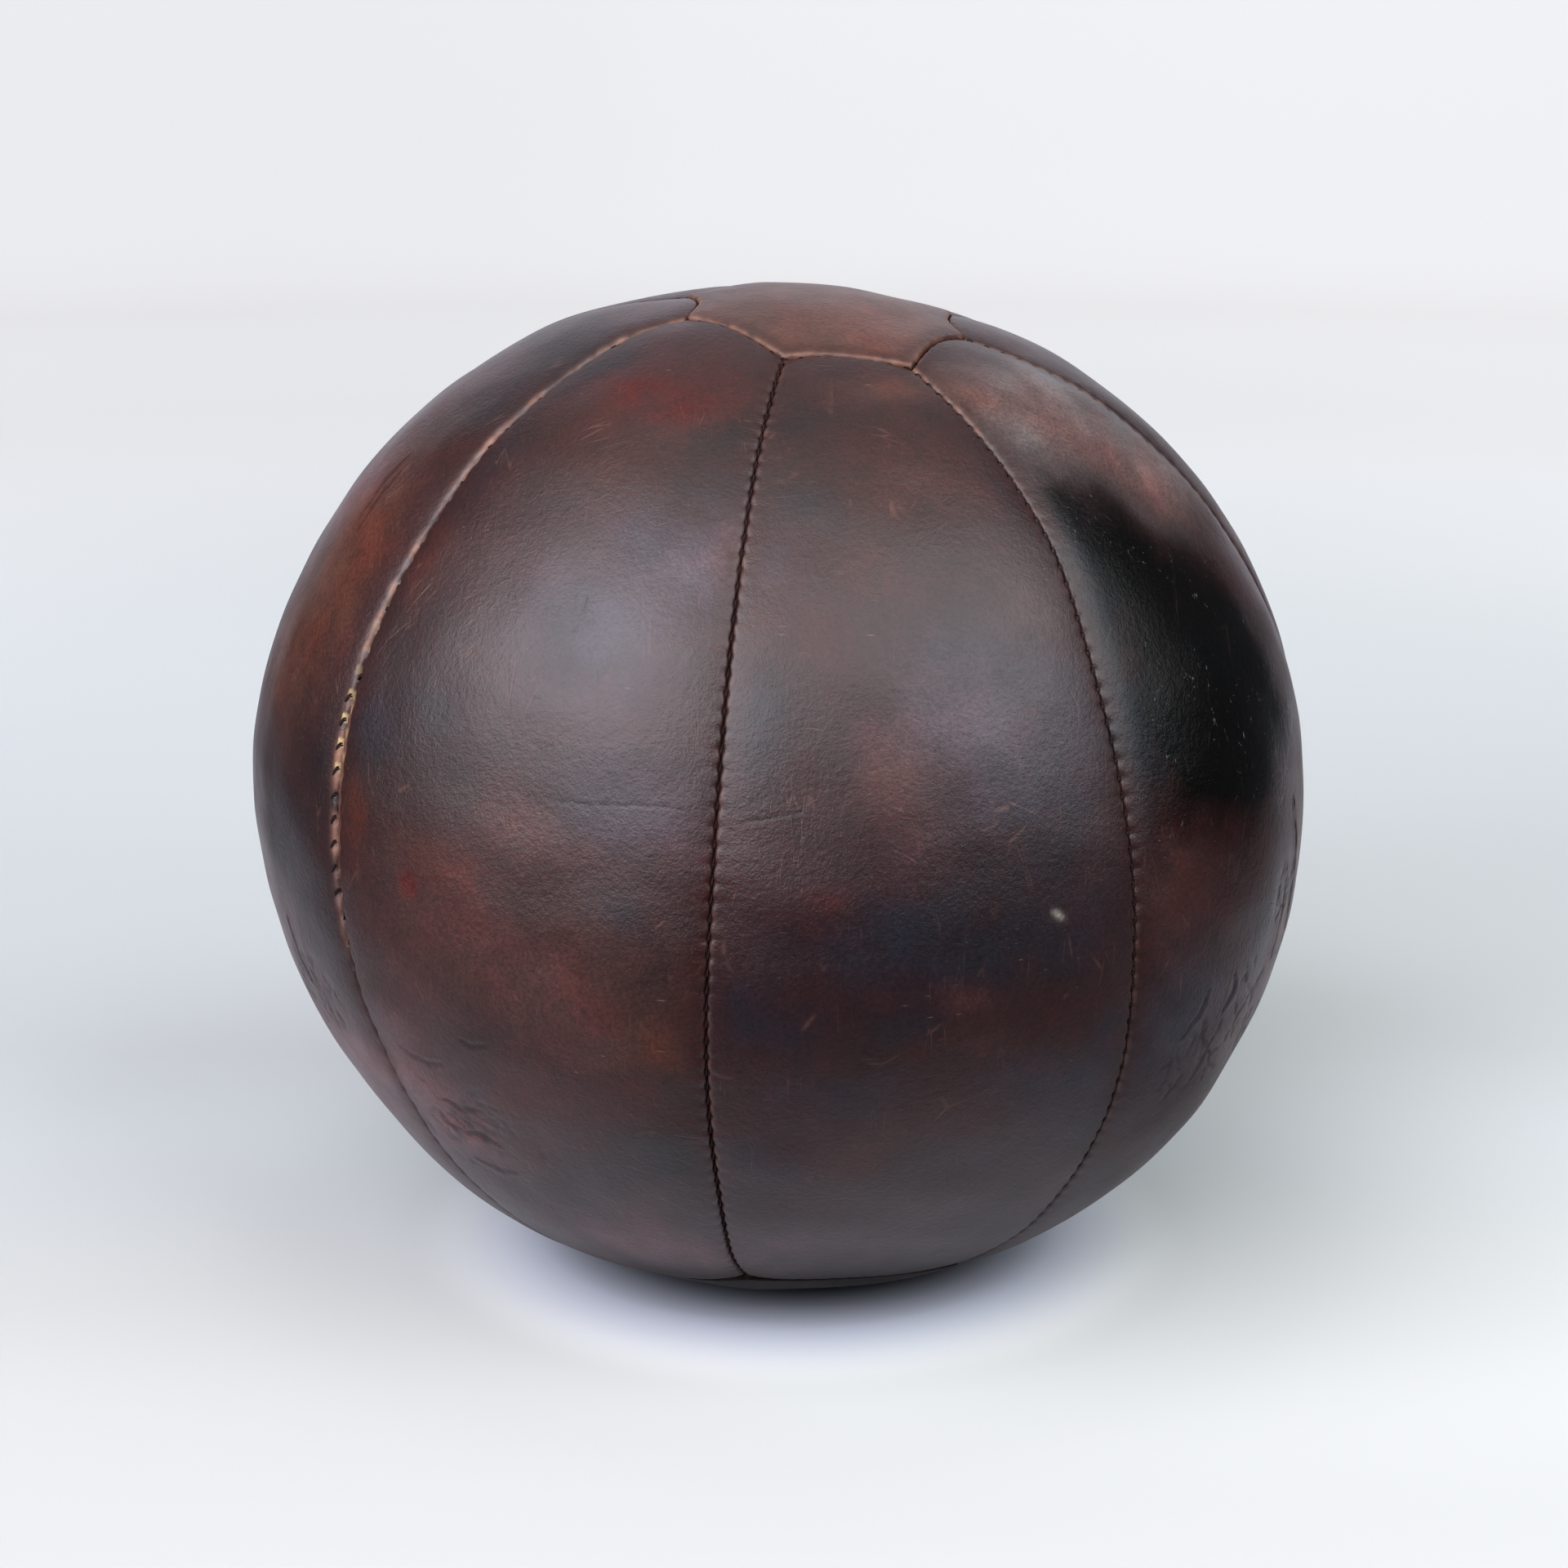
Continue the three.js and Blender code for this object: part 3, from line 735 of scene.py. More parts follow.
def gore_panel(sector, spacing, material):
    cols, rows = (2 * len(EDGE_LINES) + int(round(lines / spacing)) for lines in GORE_LINES)
    i, j = np.meshgrid(np.arange(cols), np.arange(rows))
    across = i / (cols - 1)
    for _ in range(7):
        low, high = edge_lat(-1, sector, across), edge_lat(1, sector, across)
        length = (high - low) * MM_PER_DEGREE
        up = line_places(j, rows, length, GROOVE, GROOVE)
        lat = low + up / MM_PER_DEGREE
        width = width_at(sector, lat)
        gap_left, gap_right = side_gaps(sector, lat)
        right_of = line_places(i, cols, width, gap_left, gap_right)
        across = right_of / width
    lon = sector_lon(sector, across, lat)
    base, normal = ball_frame(lon, lat)
    # One entry for each edge: distance, mm along it, gap, stitch pitch, pucker, wear.
    left, right = SEAM_LINES[sector], SEAM_LINES[(sector + 1) % PANELS]
    wear_left = SEAM_WEAR.get(sector, UNSEEN_WEAR)[1]
    wear_right = SEAM_WEAR.get((sector + 1) % PANELS, UNSEEN_WEAR)[0]
    edges = (
        (right_of, left.along(lat), gap_left, stitch_pitch(sector), PUCKER, wear_left),
        (width - right_of, right.along(lat), gap_right, stitch_pitch(sector + 1), PUCKER, wear_right),
        (up, CAP_LINES[-1].along(sector, across), GROOVE, STITCH, CAP_PUCKER, BOTTOM_WEAR[1]),
        (length - up, CAP_LINES[1].along(sector, across), GROOVE, STITCH, CAP_PUCKER, TOP_WEAR[1]),
    )
    rolls, dips, worn, valley, near = 0, 0, 0, 0, 1e9
    for number, (distance, along, gap, pitch, pucker, wear) in enumerate(edges):
        wide = number == 1 and sector == PANELS - 1
        if wide:
            wear = wear * (0.2 + 0.8 * smoothstep(-12, -5, lat)) * (0.75 + 0.3 * WEAR(base))
        if number == 0 and sector == BLACK_PANEL:
            wear = wear * (1 + 4 * smoothstep(50, 60, lat) + 1.5 * smoothstep(5, -10, lat))
        valley_deep = VALLEY if number < 2 else CAP_VALLEY
        roll, dip = edge_profile(distance, along, gap, ROLL, pitch, pucker, valley_deep)
        rolls, dips = rolls + roll**2, dips + dip
        inside = distance - gap
        near = np.minimum(near, inside)
        width_worn = 1.7 if wide else 1.1
        rubbed = wear * np.exp(-((inside / width_worn) ** 2)) * (1 - 0.4 * pull(along, pitch) * (not wide))
        worn = np.maximum(worn, rubbed)
        # how near a seam the painted shade reaches
        valley = np.maximum(valley, smoothstep(9, 1.5, inside))
    crease, crease_dirt = crease_depth(sector, across, lat, base)
    craze, craze_dirt = crazing(sector, across, lat, base)
    surface_depth = np.minimum(np.sqrt(rolls), 1.2 * ROLL) + np.minimum(dips, 2.2) + crease + craze
    outer = base - normal * surface_depth[..., None]

    pick = np.ix_(every(rows, PICK_ALONG), every(cols, PICK_ACROSS))
    back = np.where(near < HEM_REACH - 1, HEM, SKIN)[pick]
    inner = base[pick] - normal[pick] * back[..., None]

    outer_ids = np.arange(rows * cols).reshape(rows, cols)
    inner_ids = rows * cols + np.arange(inner.shape[0] * inner.shape[1]).reshape(inner.shape[:2])
    fine, coarse = rim_of(outer_ids), rim_of(inner_ids)
    where = {int(vertex): k for k, vertex in enumerate(fine)}
    positions = [where[int(v)] for v in rim_of(outer_ids[pick])]
    faces = [
        np.concatenate([grid_faces(outer_ids), grid_faces(inner_ids, flip=True)]),
        zip_rims(fine, coarse, positions),
    ]

    def offsets(patch):
        return (across - patch[0]) * width_at(sector, patch[1]), (lat - patch[1]) * MM_PER_DEGREE

    colour = dyed(base, PATCHES.get(sector) or random_patches(70 + sector), offsets)
    warm = 0.25 + 0.4 * WEAR(base) + 0.7 * smoothstep(50, 10, length - up)
    cream = 0 * lat
    if sector == PANELS - 1:
        opened = through(OPENING, lat)
        warm = np.maximum(warm, opened)
        phase = (right.along(lat) / CLOSING_STITCH) % 1
        cream = smoothstep(0.2, 0.14, np.abs(phase - 0.18)) * smoothstep(5.0, 8.0, lat) * opened
        cream = cream * smoothstep(1.9, 1.4, width - right_of - gap_right)
    # Painted shade: the leather darkens to deep red-brown towards each seam, where it dips.
    share = (0.75 * valley * (0.8 + 0.3 * WEAR(base)))[..., None]
    colour = colour * (1 - share) + DYE["valley"] * share
    # Painted shade in the creases and cracks.
    dark = np.clip(0.8 * crease_dirt + craze_dirt, 0, 1)
    worn = np.clip(worn * (0.75 + 0.6 * WEAR(base) + 0.3 * FINE_WEAR(base)), 0, 1)
    gloss = np.zeros(lat.shape)
    if sector == BLACK_PANEL:
        gloss = smoothstep(0.02, 0.001, colour[..., 0]) * smoothstep(2.5, 12, right_of)
    # No wax is left where the finish is rubbed down to rust. Underneath, the sheen is taken away as painted shade.
    rusty = colour[..., 0] - 2 * colour[..., 2]
    dull = np.maximum(0.8 * smoothstep(-52, -63, lat), 0.35 * smoothstep(0.012, 0.032, rusty))
    attributes = skin_attributes(
        colour, inner_ids.size, worn=worn, dirt=dark, gloss=gloss, warm=np.clip(warm, 0, 1), cream=cream, dull=dull
    )
    points = np.concatenate([outer.reshape(-1, 3), inner.reshape(-1, 3)])
    return make_object(f"leather_gore_{sector + 1}", points, faces, material, attributes)


CAP_PATCHES = {  # offsets in mm from the middle of the cap, towards +X and +Y
    1: ((0, -10, 60, 50, 0, "tan", 1.15), (-25, 10, 16, 14, 0, "umber", 0.4), (18, -22, 24, 12, 0, "umber", 0.3)),
    # The large black patch at the front of the bottom cap is painted shadow, where the ball rests on the floor.
    -1: ((-30, 0, 20, 20, 0, "umber", 0.5), (20, 20, 20, 16, 0, "indigo", 0.6), (5, -66, 76, 30, 0, "black", 1.5)),
}


def end_cap(end, name, material):
    stations, rings = PANELS * CAP_PER_SIDE, len(EDGE_LINES) + CAP_RINGS
    i, k = np.meshgrid(np.arange(stations), np.arange(rings))
    sector, across = i // CAP_PER_SIDE, (i % CAP_PER_SIDE) / CAP_PER_SIDE
    line = CAP_LINES[end]
    along = line.along(sector, across)
    edge, _ = line.spot(sector + across)
    reach = (90 - np.abs(edge)) * MM_PER_DEGREE
    last = len(EDGE_LINES) - 1
    near = GROOVE + EDGE_LINES[np.minimum(k, last)]
    share = np.clip((k - last) / (rings - 1 - last), 0, 1) * CAP_MIDDLE
    inset = near + (reach - near) * share
    lat = edge + end * inset / MM_PER_DEGREE
    lon = np.zeros(lat.shape)
    for s in range(PANELS):
        here = sector == s
        lon[here] = sector_lon(s, across[here], lat[here])
    base, normal = ball_frame(lon, lat)
    distance = 0.95 * (inset - GROOVE) + GROOVE
    roll, dip = edge_profile(distance, along, GROOVE, ROLL, STITCH, CAP_PUCKER, CAP_VALLEY)
    outer = base - normal * (roll + dip)[..., None]
    tip_base, tip_normal = ball_frame(np.zeros(1), np.full(1, 90.0 * end))
    pick = np.ix_(every(rings, PICK_ACROSS), np.arange(0, stations, PICK_ACROSS))
    back = np.where(distance < HEM_REACH - 1, HEM, SKIN)[pick]
    inner = base[pick] - normal[pick] * back[..., None]
    outer_ids = np.arange(rings * stations).reshape(rings, stations)
    inner_ids = rings * stations + np.arange(inner.shape[0] * inner.shape[1]).reshape(inner.shape[:2])
    tips = inner_ids.max() + 1 + np.arange(2)
    turned = end < 0  # rings run towards the pole; seen from outside the bottom turns the other way
    fans = [fan(outer_ids[-1], tips[0], turned), fan(inner_ids[-1], tips[1], not turned)]
    rim = zip_rims(outer_ids[0], inner_ids[0], list(range(0, stations, PICK_ACROSS)))
    skins = [grid_faces(outer_ids, flip=turned, closed=True), grid_faces(inner_ids, flip=not turned, closed=True)]
    faces = [np.concatenate(skins), np.concatenate([*fans, rim[:, ::-1] if turned else rim])]

    def offsets(patch):
        return base[..., 0] - tip_base[0, 0] - patch[0], base[..., 1] - tip_base[0, 1] - patch[1]

    colour = dyed(base, CAP_PATCHES[end], offsets)
    inside = distance - GROOVE
    # The bottom cap loses its sheen as painted shade.
    seam_shade, wear, dull = (0.6, TOP_WEAR[0], 0.0) if end > 0 else (0.15, BOTTOM_WEAR[0], 0.9)
    # Painted shade: the cap darkens to deep red-brown towards its seam.
    fade = (seam_shade * smoothstep(8, 1.5, inside))[..., None]
    colour = colour * (1 - fade) + DYE["valley"] * fade
    worn = wear * np.exp(-((inside / 1.7) ** 2)) * (1 - 0.3 * pull(along, STITCH))
    worn = np.clip(worn * (0.8 + 0.6 * WEAR(base) + 0.3 * FINE_WEAR(base)), 0, 1)
    attributes = skin_attributes(colour, inner_ids.size, (colour[-1, 0], DYE["flesh"]), worn=worn, warm=1.0, dull=dull)
    tips_at = np.concatenate([tip_base, tip_base - tip_normal * SKIN])
    points = np.concatenate([outer.reshape(-1, 3), inner.reshape(-1, 3), tips_at])
    return make_object(name, points, faces, material, attributes)


# ---- Welts and threads ----

WELT_STEP = 1.2


def sweep(rows, closed):
    """Points and faces of a section, given as rows of points, swept along."""
    stations, corners = rows.shape[:2]
    ids = np.arange(stations * corners).reshape(stations, corners)
    if closed:
        ids = np.concatenate([ids, ids[:1]])
    quads = grid_faces(ids, closed=True)
    triangles = None
    if not closed:
        wedges = np.array([(0, c, c + 1) for c in range(1, corners - 1)])
        triangles = np.concatenate([ids[-1][wedges], ids[0][wedges[:, ::-1]]])
    return rows.reshape(-1, 3), quads, triangles


def welt_rows(line, along, half_left, half_right, top):
    left, right = -np.asarray(half_left) + 0 * along, np.asarray(half_right) + 0 * along
    bevel = 0.25 * (right - left)
    corners = (
        (left, HEM), (left, top + 0.35), (left + bevel, top), (0.5 * (left + right), top - 0.12),
        (right - bevel, top), (right, top + 0.35), (right, HEM),
    )
    return np.stack([line.place(along, side, depth + 0 * along) for side, depth in corners], 1)


def gore_welt(index, name, material):
    line = SEAM_LINES[index]
    along = np.linspace(GROOVE + 0.2, line.length - GROOVE - 0.2, int(line.length / WELT_STEP))
    opened = through(OPENING, line.lat_at(along)) if index == 0 else np.zeros(len(along))
    top = 2.9 - 1.2 * opened + 0.12 * np.sin(along * 1.7 + index)
    rows = welt_rows(line, along, GROOVE - 0.05 + OPEN_BY * opened, GROOVE - 0.05, top)
    points, quads, triangles = sweep(rows, False)
    bare = np.repeat(0.35 * smoothstep(0.1, 0.5, opened), rows.shape[1])
    # Bare pale leather just above each of the upper stitches, where the strip has been rubbed.
    phase = (along / CLOSING_STITCH - 0.22) % 1
    rubbed = 0.3 * smoothstep(0.2, 0.14, np.abs(phase - 0.4)) * smoothstep(5.0, 8.0, line.lat_at(along)) * opened
    traits = {"bare": bare, "rubbed": np.repeat(rubbed, rows.shape[1])}
    return make_object(name, points, [quads, triangles], material, traits)


def cap_welt(end, name, material):
    line = CAP_LINES[end]
    along = np.linspace(0, line.length, int(line.length / WELT_STEP), endpoint=False)
    top = 2.7 + 0.12 * np.sin(along * 1.7)
    rows = welt_rows(line, along, GROOVE - 0.05, GROOVE - 0.05, top)
    points, quads, _ = sweep(rows, True)
    traits = {"bare": np.full(len(points), 0.25 if end > 0 else 0.1), "rubbed": np.zeros(len(points))}
    return make_object(name, points, [quads if end > 0 else quads[:, ::-1]], material, traits)


def running_thread(line, first, final, closed, parts):
    """A double thread that rises into sight of the groove at each stitch."""
    count = int(round((final - first) / STITCH))
    steps = 10 * count
    along = np.linspace(first, final, steps + (0 if closed else 1), endpoint=not closed)
    phase = along / STITCH * 2 * math.pi
    for strand in (-1, 1):
        twist = phase * 2.5 + (0 if strand > 0 else math.pi)
        depth = 2.2 - 0.75 * np.cos(phase) + 0.1 * np.sin(twist)
        side = 0.08 * np.cos(twist) + 0.05 * np.sin(phase)
        points, quads, ends = tube(line.place(along, side, depth), 0.15, 6)
        if closed:
            ring = np.arange(6)
            after, last = (ring + 1) % 6, (len(along) - 1) * 6
            bridge = np.stack([last + ring, last + after, after, ring], -1)
            points, quads, ends = points[:-2], np.concatenate([quads, bridge]), None
        parts.add(points, quads, ends)


def closing_stitches(line, parts):
    """Slanted stitches of doubled cord, lower on the left, that draw the two edges together."""
    count = int(line.length / CLOSING_STITCH)
    rng = np.random.default_rng(8)
    for k in range(1, count):
        middle = k * CLOSING_STITCH
        opened = float(through(OPENING, line.lat_at(middle)))
        gap_left = GROOVE + OPEN_BY * opened
        t = np.linspace(-1, 1, 17)
        shown = smoothstep(0.2, 0.6, opened)
        start, stop = -(gap_left + 0.1 + 2.1 * shown), GROOVE + 0.9 - (gap_left + GROOVE + 1.3) * shown
        side = start + (stop - start) * (t + 1) / 2
        along = middle + (1.3 + 0.3 * rng.uniform(-1, 1)) * t
        inside = np.maximum(np.where(side < 0, -side - gap_left, side - GROOVE), 0)
        surface = roll_depth(inside, 0, ROLL) * (inside > 0) + VALLEY * np.exp(-inside / VALLEY_REACH)
        level = VALLEY + 0.05 + 0.25 * (1 - t**2)
        hidden = (1.0 + 0.5 * rng.uniform(-1, 1)) * (1 - shown)
        depth = np.minimum(surface, level + 0.4) - 0.15 + 2.2 * smoothstep(0.72, 1.0, np.abs(t)) + hidden
        for strand in (-0.3, 0.3):
            path = line.place(along + strand, side, depth + 0.08 * rng.uniform(-1, 1))
            parts.add(*tube(path, 0.24, 8))
    # The lower run of the cord, behind the edges.
    along = np.linspace(1.5, line.length - 1.5, count * 8)
    parts.add(*tube(line.place(along, 0.25 * np.sin(along), 3.9 + 0.2 * np.cos(along * 2)), 0.3, 6))


def seam_thread(index, name, material):
    line, parts = SEAM_LINES[index], Parts()
    if index == 0:
        closing_stitches(line, parts)
    else:
        running_thread(line, 0.8, line.length - 0.8, False, parts)
    return parts.build(name, material)


def cap_thread(end, name, material):
    parts = Parts()
    running_thread(CAP_LINES[end], 0, CAP_LINES[end].length, True, parts)
    return parts.build(name, material)


# ---- Lining and stuffing ----

SLIT_HALF = 1.7
SLIT_LATS = (-15.0, 15.0)
BAG_LAT = 88.5  # the bags' rows stop short of the poles, where a fan closes them
BAG_ROWS = 181


def bag_rows(depth, rows, per_gore, slit):
    """Points of a bag inside the leather, slit open behind the closing seam."""
    lats = np.linspace(-BAG_LAT, BAG_LAT, rows)
    across = np.arange(per_gore) / per_gore
    turns = (np.arange(PANELS)[:, None] + across).ravel()
    turns = np.concatenate([turns, [PANELS]])
    low, high = SLIT_LATS
    lon_rows = []
    for lat in lats:
        opened = max(slit * smoothstep(low - 4, low, lat) * smoothstep(high + 4, high, lat), 0.02)
        width = float(width_at(0, np.array(lat)))
        moved = turns.copy()
        moved[0], moved[-1] = opened / width, PANELS - opened / width
        sectors = np.minimum(moved.astype(int), PANELS - 1)
        lon_rows.append([sector_lon(s, m - s, np.array(lat)) for s, m in zip(sectors, moved)])
    lon = np.array(lon_rows, float)
    lat = np.broadcast_to(lats[:, None], lon.shape)
    return ball_point(lon, lat, depth(lon, lat))


def shell(grids, name, material, gap_open=None):
    """Closed skin from one or two grids of rows; two grids make a hollow bag."""
    parts, rims = Parts(), []
    for level, points in enumerate(grids):
        ids = np.arange(points[..., 0].size).reshape(points.shape[:2])
        wrap = np.stack([ids[:-1, -1], ids[:-1, 0], ids[1:, 0], ids[1:, -1]], -1)
        wrap = wrap[:, ::-1] if level > 0 else wrap
        quads = [grid_faces(ids, flip=level > 0), wrap if gap_open is None else wrap[~gap_open]]
        fans = [fan(ids[0], ids.size, level == 0), fan(ids[-1], ids.size + 1, level > 0)]
        rims.append(ids + parts.count)
        tips = points[[0, -1]].mean(axis=1)
        parts.add(np.concatenate([points.reshape(-1, 3), tips]), np.concatenate(quads), np.concatenate(fans))
    if gap_open is not None:
        first, final = np.flatnonzero(gap_open)[[0, -1]]
        span = slice(first, final + 2)
        a, b = (np.concatenate([ids[span, 0], ids[span, -1][::-1]]) for ids in rims)
        parts.quads.append(np.stack([a, b, np.roll(b, -1), np.roll(a, -1)], -1)[:, ::-1])
    return parts.build(name, material)


def lining_bag(name, material):
    def skin(depth):
        pucker = lambda lon, lat: 0.12 * np.sin(lat * 2.1) * np.exp(-(((lon + 52) / 6) ** 2))
        return bag_rows(lambda lon, lat: depth + pucker(lon, lat), BAG_ROWS, 14, SLIT_HALF)

    lats = np.linspace(-BAG_LAT, BAG_LAT, BAG_ROWS)
    between = (lats[:-1] + lats[1:]) / 2
    gap_open = (between > SLIT_LATS[0]) & (between < SLIT_LATS[1])
    return shell([skin(LINING_DEPTH), skin(LINING_DEPTH + LINING)], name, material, gap_open)


def slit_thread(name, material):
    line, turns = SEAM_LINES[0], 12
    first, final = line.along(SLIT_LATS[0] + 1), line.along(SLIT_LATS[1] - 1)
    t = np.linspace(0, turns, turns * 16)
    swing = 1.1 * np.clip(1.6 * np.sin(2 * math.pi * t), -1, 1) * SLIT_HALF
    weave = (LINING / 2 + 0.45) * np.cos(4 * math.pi * t) * (np.abs(swing) > 0.8 * SLIT_HALF)
    path = line.place(first + (final - first) * t / turns, swing, LINING_DEPTH + LINING / 2 - weave)
    points, quads, ends = tube(path, 0.32, 8)
    return make_object(name, points, [quads, ends], material)


def stuffing(name, material):
    clumps, tufts = Waves(21, 10, 30, 30), Waves(22, 3, 8, 40)

    def lumpy(lon, lat):
        place = direction(lon, lat) * 150
        return STUFFING_DEPTH + 0.9 - 0.9 * clumps(place) - 0.35 * np.abs(tufts(place))

    return shell([bag_rows(lumpy, 230, 44, 0.0)], name, material)


# ---- Materials ----


class Nodes:
    """Builds a material's node tree with little typing."""

    def __init__(self, name):
        self.material = bpy.data.materials.new(name)
        self.material.use_nodes = True
        self.tree = self.material.node_tree
        self.shader = self.tree.nodes["Principled BSDF"]
        self.place = self.add("ShaderNodeTexCoord").outputs["Object"]

    def add(self, kind, **settings):
        node = self.tree.nodes.new(kind)
        for key, value in settings.items():
            setattr(node, key, value)
        return node

    def link(self, source, socket):
        if hasattr(source, "links"):
            self.tree.links.new(source, socket)
        else:
            socket.default_value = source

    def attribute(self, name, colour=False):
        node = self.add("ShaderNodeAttribute", attribute_name=name)
        return node.outputs["Color" if colour else "Fac"]

    def noise(self, scale, detail=4.0, rough=0.55, place=None, distortion=0.0):
        node = self.add("ShaderNodeTexNoise")
        self.link(place or self.place, node.inputs["Vector"])
        for key, value in (("Scale", scale), ("Detail", detail), ("Roughness", rough), ("Distortion", distortion)):
            node.inputs[key].default_value = value
        return node.outputs["Fac"]

    def cells(self, scale, feature="F1", place=None):
        node = self.add("ShaderNodeTexVoronoi", feature=feature)
        self.link(place or self.place, node.inputs["Vector"])
        node.inputs["Scale"].default_value = scale
        return node

    def red_of(self, colour):
        node = self.add("ShaderNodeSeparateColor")
        self.link(colour, node.inputs[0])
        return node.outputs[0]

    def math(self, operation, a, b=0.0, clamp=False):
        node = self.add("ShaderNodeMath", operation=operation, use_clamp=clamp)
        self.link(a, node.inputs[0])
        self.link(b, node.inputs[1])
        return node.outputs[0]

    def times(self, a, b):
        return self.math("MULTIPLY", a, b)

    def span(self, value, low, high, to_low=0.0, to_high=1.0, smooth=True):
        node = self.add("ShaderNodeMapRange", interpolation_type="SMOOTHSTEP" if smooth else "LINEAR")
        keys = ("Value", "From Min", "From Max", "To Min", "To Max")
        for key, source in zip(keys, (value, low, high, to_low, to_high)):
            self.link(source, node.inputs[key])
        return node.outputs["Result"]

    def mix(self, share, a, b):
        node = self.add("ShaderNodeMix", data_type="RGBA", clamp_result=False)
        self.link(share, node.inputs["Factor"])
        for socket, source in (("A", a), ("B", b)):
            target = [s for s in node.inputs if s.name == socket and s.type == "RGBA"][0]
            self.link(source if hasattr(source, "links") else (*source, 1.0), target)
        return [s for s in node.outputs if s.type == "RGBA"][0]

    def stretched(self, scale, turn=(0.0, 0.0, 0.0)):
        node = self.add("ShaderNodeMapping")
        self.link(self.place, node.inputs["Vector"])
        node.inputs["Scale"].default_value = scale
        node.inputs["Rotation"].default_value = turn
        return node.outputs["Vector"]

    def bump(self, height, distance, strength, normal=None):
        node = self.add("ShaderNodeBump")
        node.inputs["Distance"].default_value = distance
        node.inputs["Strength"].default_value = strength
        self.link(height, node.inputs["Height"])
        if normal is not None:
            self.link(normal, node.inputs["Normal"])
        return node.outputs["Normal"]

    def finish(self, colour, roughness, normal, specular=0.35):
        self.link(colour, self.shader.inputs["Base Color"])
        self.link(roughness, self.shader.inputs["Roughness"])
        self.link(normal, self.shader.inputs["Normal"])
        self.shader.inputs["Specular IOR Level"].default_value = specular
        return self.material


def leather():
    m = Nodes("old_leather")
    dye = m.attribute("dye", colour=True)
    traits = ("worn", "dirt", "gloss", "flesh", "warm", "cream")
    worn, dirt, gloss, flesh, warm, cream = (m.attribute(name) for name in traits)
    cloud = m.noise(38, 7, 0.62, distortion=0.4)
    blotch = m.noise(150, 5, 0.6)
    speckle = m.noise(900, 3, 0.6)
    bright = m.times(m.span(cloud, 0.28, 0.72, 0.86, 1.14), m.span(blotch, 0.3, 0.7, 0.88, 1.12))
    bright = m.times(bright, m.span(speckle, 0.32, 0.68, 0.72, 1.32))
    scaled = m.add("ShaderNodeVectorMath", operation="SCALE")
    m.link(dye, scaled.inputs[0])
    m.link(bright, scaled.inputs["Scale"])
    colour = scaled.outputs[0]
    # Fine pale scratches, long and thin, in two directions.
    scratch = None
    for turn, scale in (((0.4, 0.2, 0.5), (260, 26, 26)), ((0.1, 1.1, -0.3), (22, 240, 30))):
        lines = m.cells(1.0, "DISTANCE_TO_EDGE", m.stretched(scale, turn)).outputs["Distance"]
        thin = m.span(lines, 0.0, 0.03, 1.0, 0.0)
        some = m.span(m.noise(60, 3, 0.6, m.stretched((1, 1, 1), turn)), 0.56, 0.7)
        thin = m.times(thin, some)
        scratch = thin if scratch is None else m.math("MAXIMUM", scratch, thin)
    # Short pale nicks, mostly lying level, and the scuffs on the polished black patch.
    nick = m.cells(1.0, "F1", m.stretched((120, 700, 1100)))
    few = m.span(m.red_of(nick.outputs["Color"]), 0.95, 0.97)
    few = m.times(few, m.span(m.noise(28, 3, 0.6), 0.5, 0.6))
    nicks = m.times(m.span(nick.outputs["Distance"], 0.05, 0.3, 1.0, 0.0), few)
    scuffs = m.span(m.noise(1.0, 5, 0.7, m.stretched((760, 560, 250), (0.2, 0.1, 0.3))), 0.62, 0.7)
    scuffs = m.times(m.times(scuffs, gloss), m.span(m.noise(60, 3, 0.6), 0.48, 0.6))
    shown = m.times(m.times(scratch, m.span(gloss, 0.0, 1.0, 1.0, 0.15)), 0.22)
    colour = m.mix(shown, colour, rgb(96, 66, 54))
    colour = m.mix(m.times(nicks, 0.4), colour, rgb(112, 88, 76))
    colour = m.mix(m.times(scuffs, 0.6), colour, rgb(98, 98, 98))
    patchy = m.noise(240, 4, 0.6)
    worn_tone = m.mix(m.span(patchy, 0.4, 0.62), DYE["worn"], rgb(92, 82, 82))
    worn_tone = m.mix(m.times(warm, 0.8), worn_tone, rgb(112, 76, 57))
    colour = m.mix(m.times(worn, m.span(patchy, 0.3, 0.6, 0.6, 1.0)), colour, worn_tone)
    colour = m.mix(cream, colour, m.mix(patchy, rgb(132, 112, 76), rgb(156, 138, 102)))
    # Painted shade: creases and cracks darkened to near black.
    colour = m.mix(m.times(dirt, 0.85), colour, rgb(10, 5, 5))
    roughness = m.span(cloud, 0.3, 0.7, 0.43, 0.37)
    roughness = m.math("SUBTRACT", roughness, m.times(gloss, 0.17))
    roughness = m.math("ADD", roughness, m.times(m.math("MAXIMUM", worn, flesh), 0.25), clamp=True)
    pores = m.cells(620, "SMOOTH_F1").outputs["Distance"]
    grain = m.math("ADD", m.times(pores, 0.6), m.noise(1500, 3, 0.6))
    normal = m.bump(m.noise(110, 5, 0.6), 0.0010, 0.22)
    normal = m.bump(grain, 0.00022, 0.65, normal)
    normal = m.bump(m.times(m.math("MAXIMUM", scratch, dirt), -1.0), 0.00012, 0.5, normal)
    # Old wax dulls the sheen where the leather turns away.
    edge = m.add("ShaderNodeLayerWeight")
    edge.inputs["Blend"].default_value = 0.5
    sheen = m.span(edge.outputs["Facing"], 0.48, 0.9, 0.35, 0.25)
    sheen = m.times(sheen, m.span(gloss, 0.0, 1.0, 1.0, 0.33, False))
    # Less sheen where the finish is rubbed to rust, and no sheen underneath as painted shade.
    sheen = m.times(sheen, m.span(m.attribute("dull"), 0.0, 1.0, 1.0, 0.0, False))
    material = m.finish(colour, roughness, normal)
    m.link(sheen, m.shader.inputs["Specular IOR Level"])
    return material


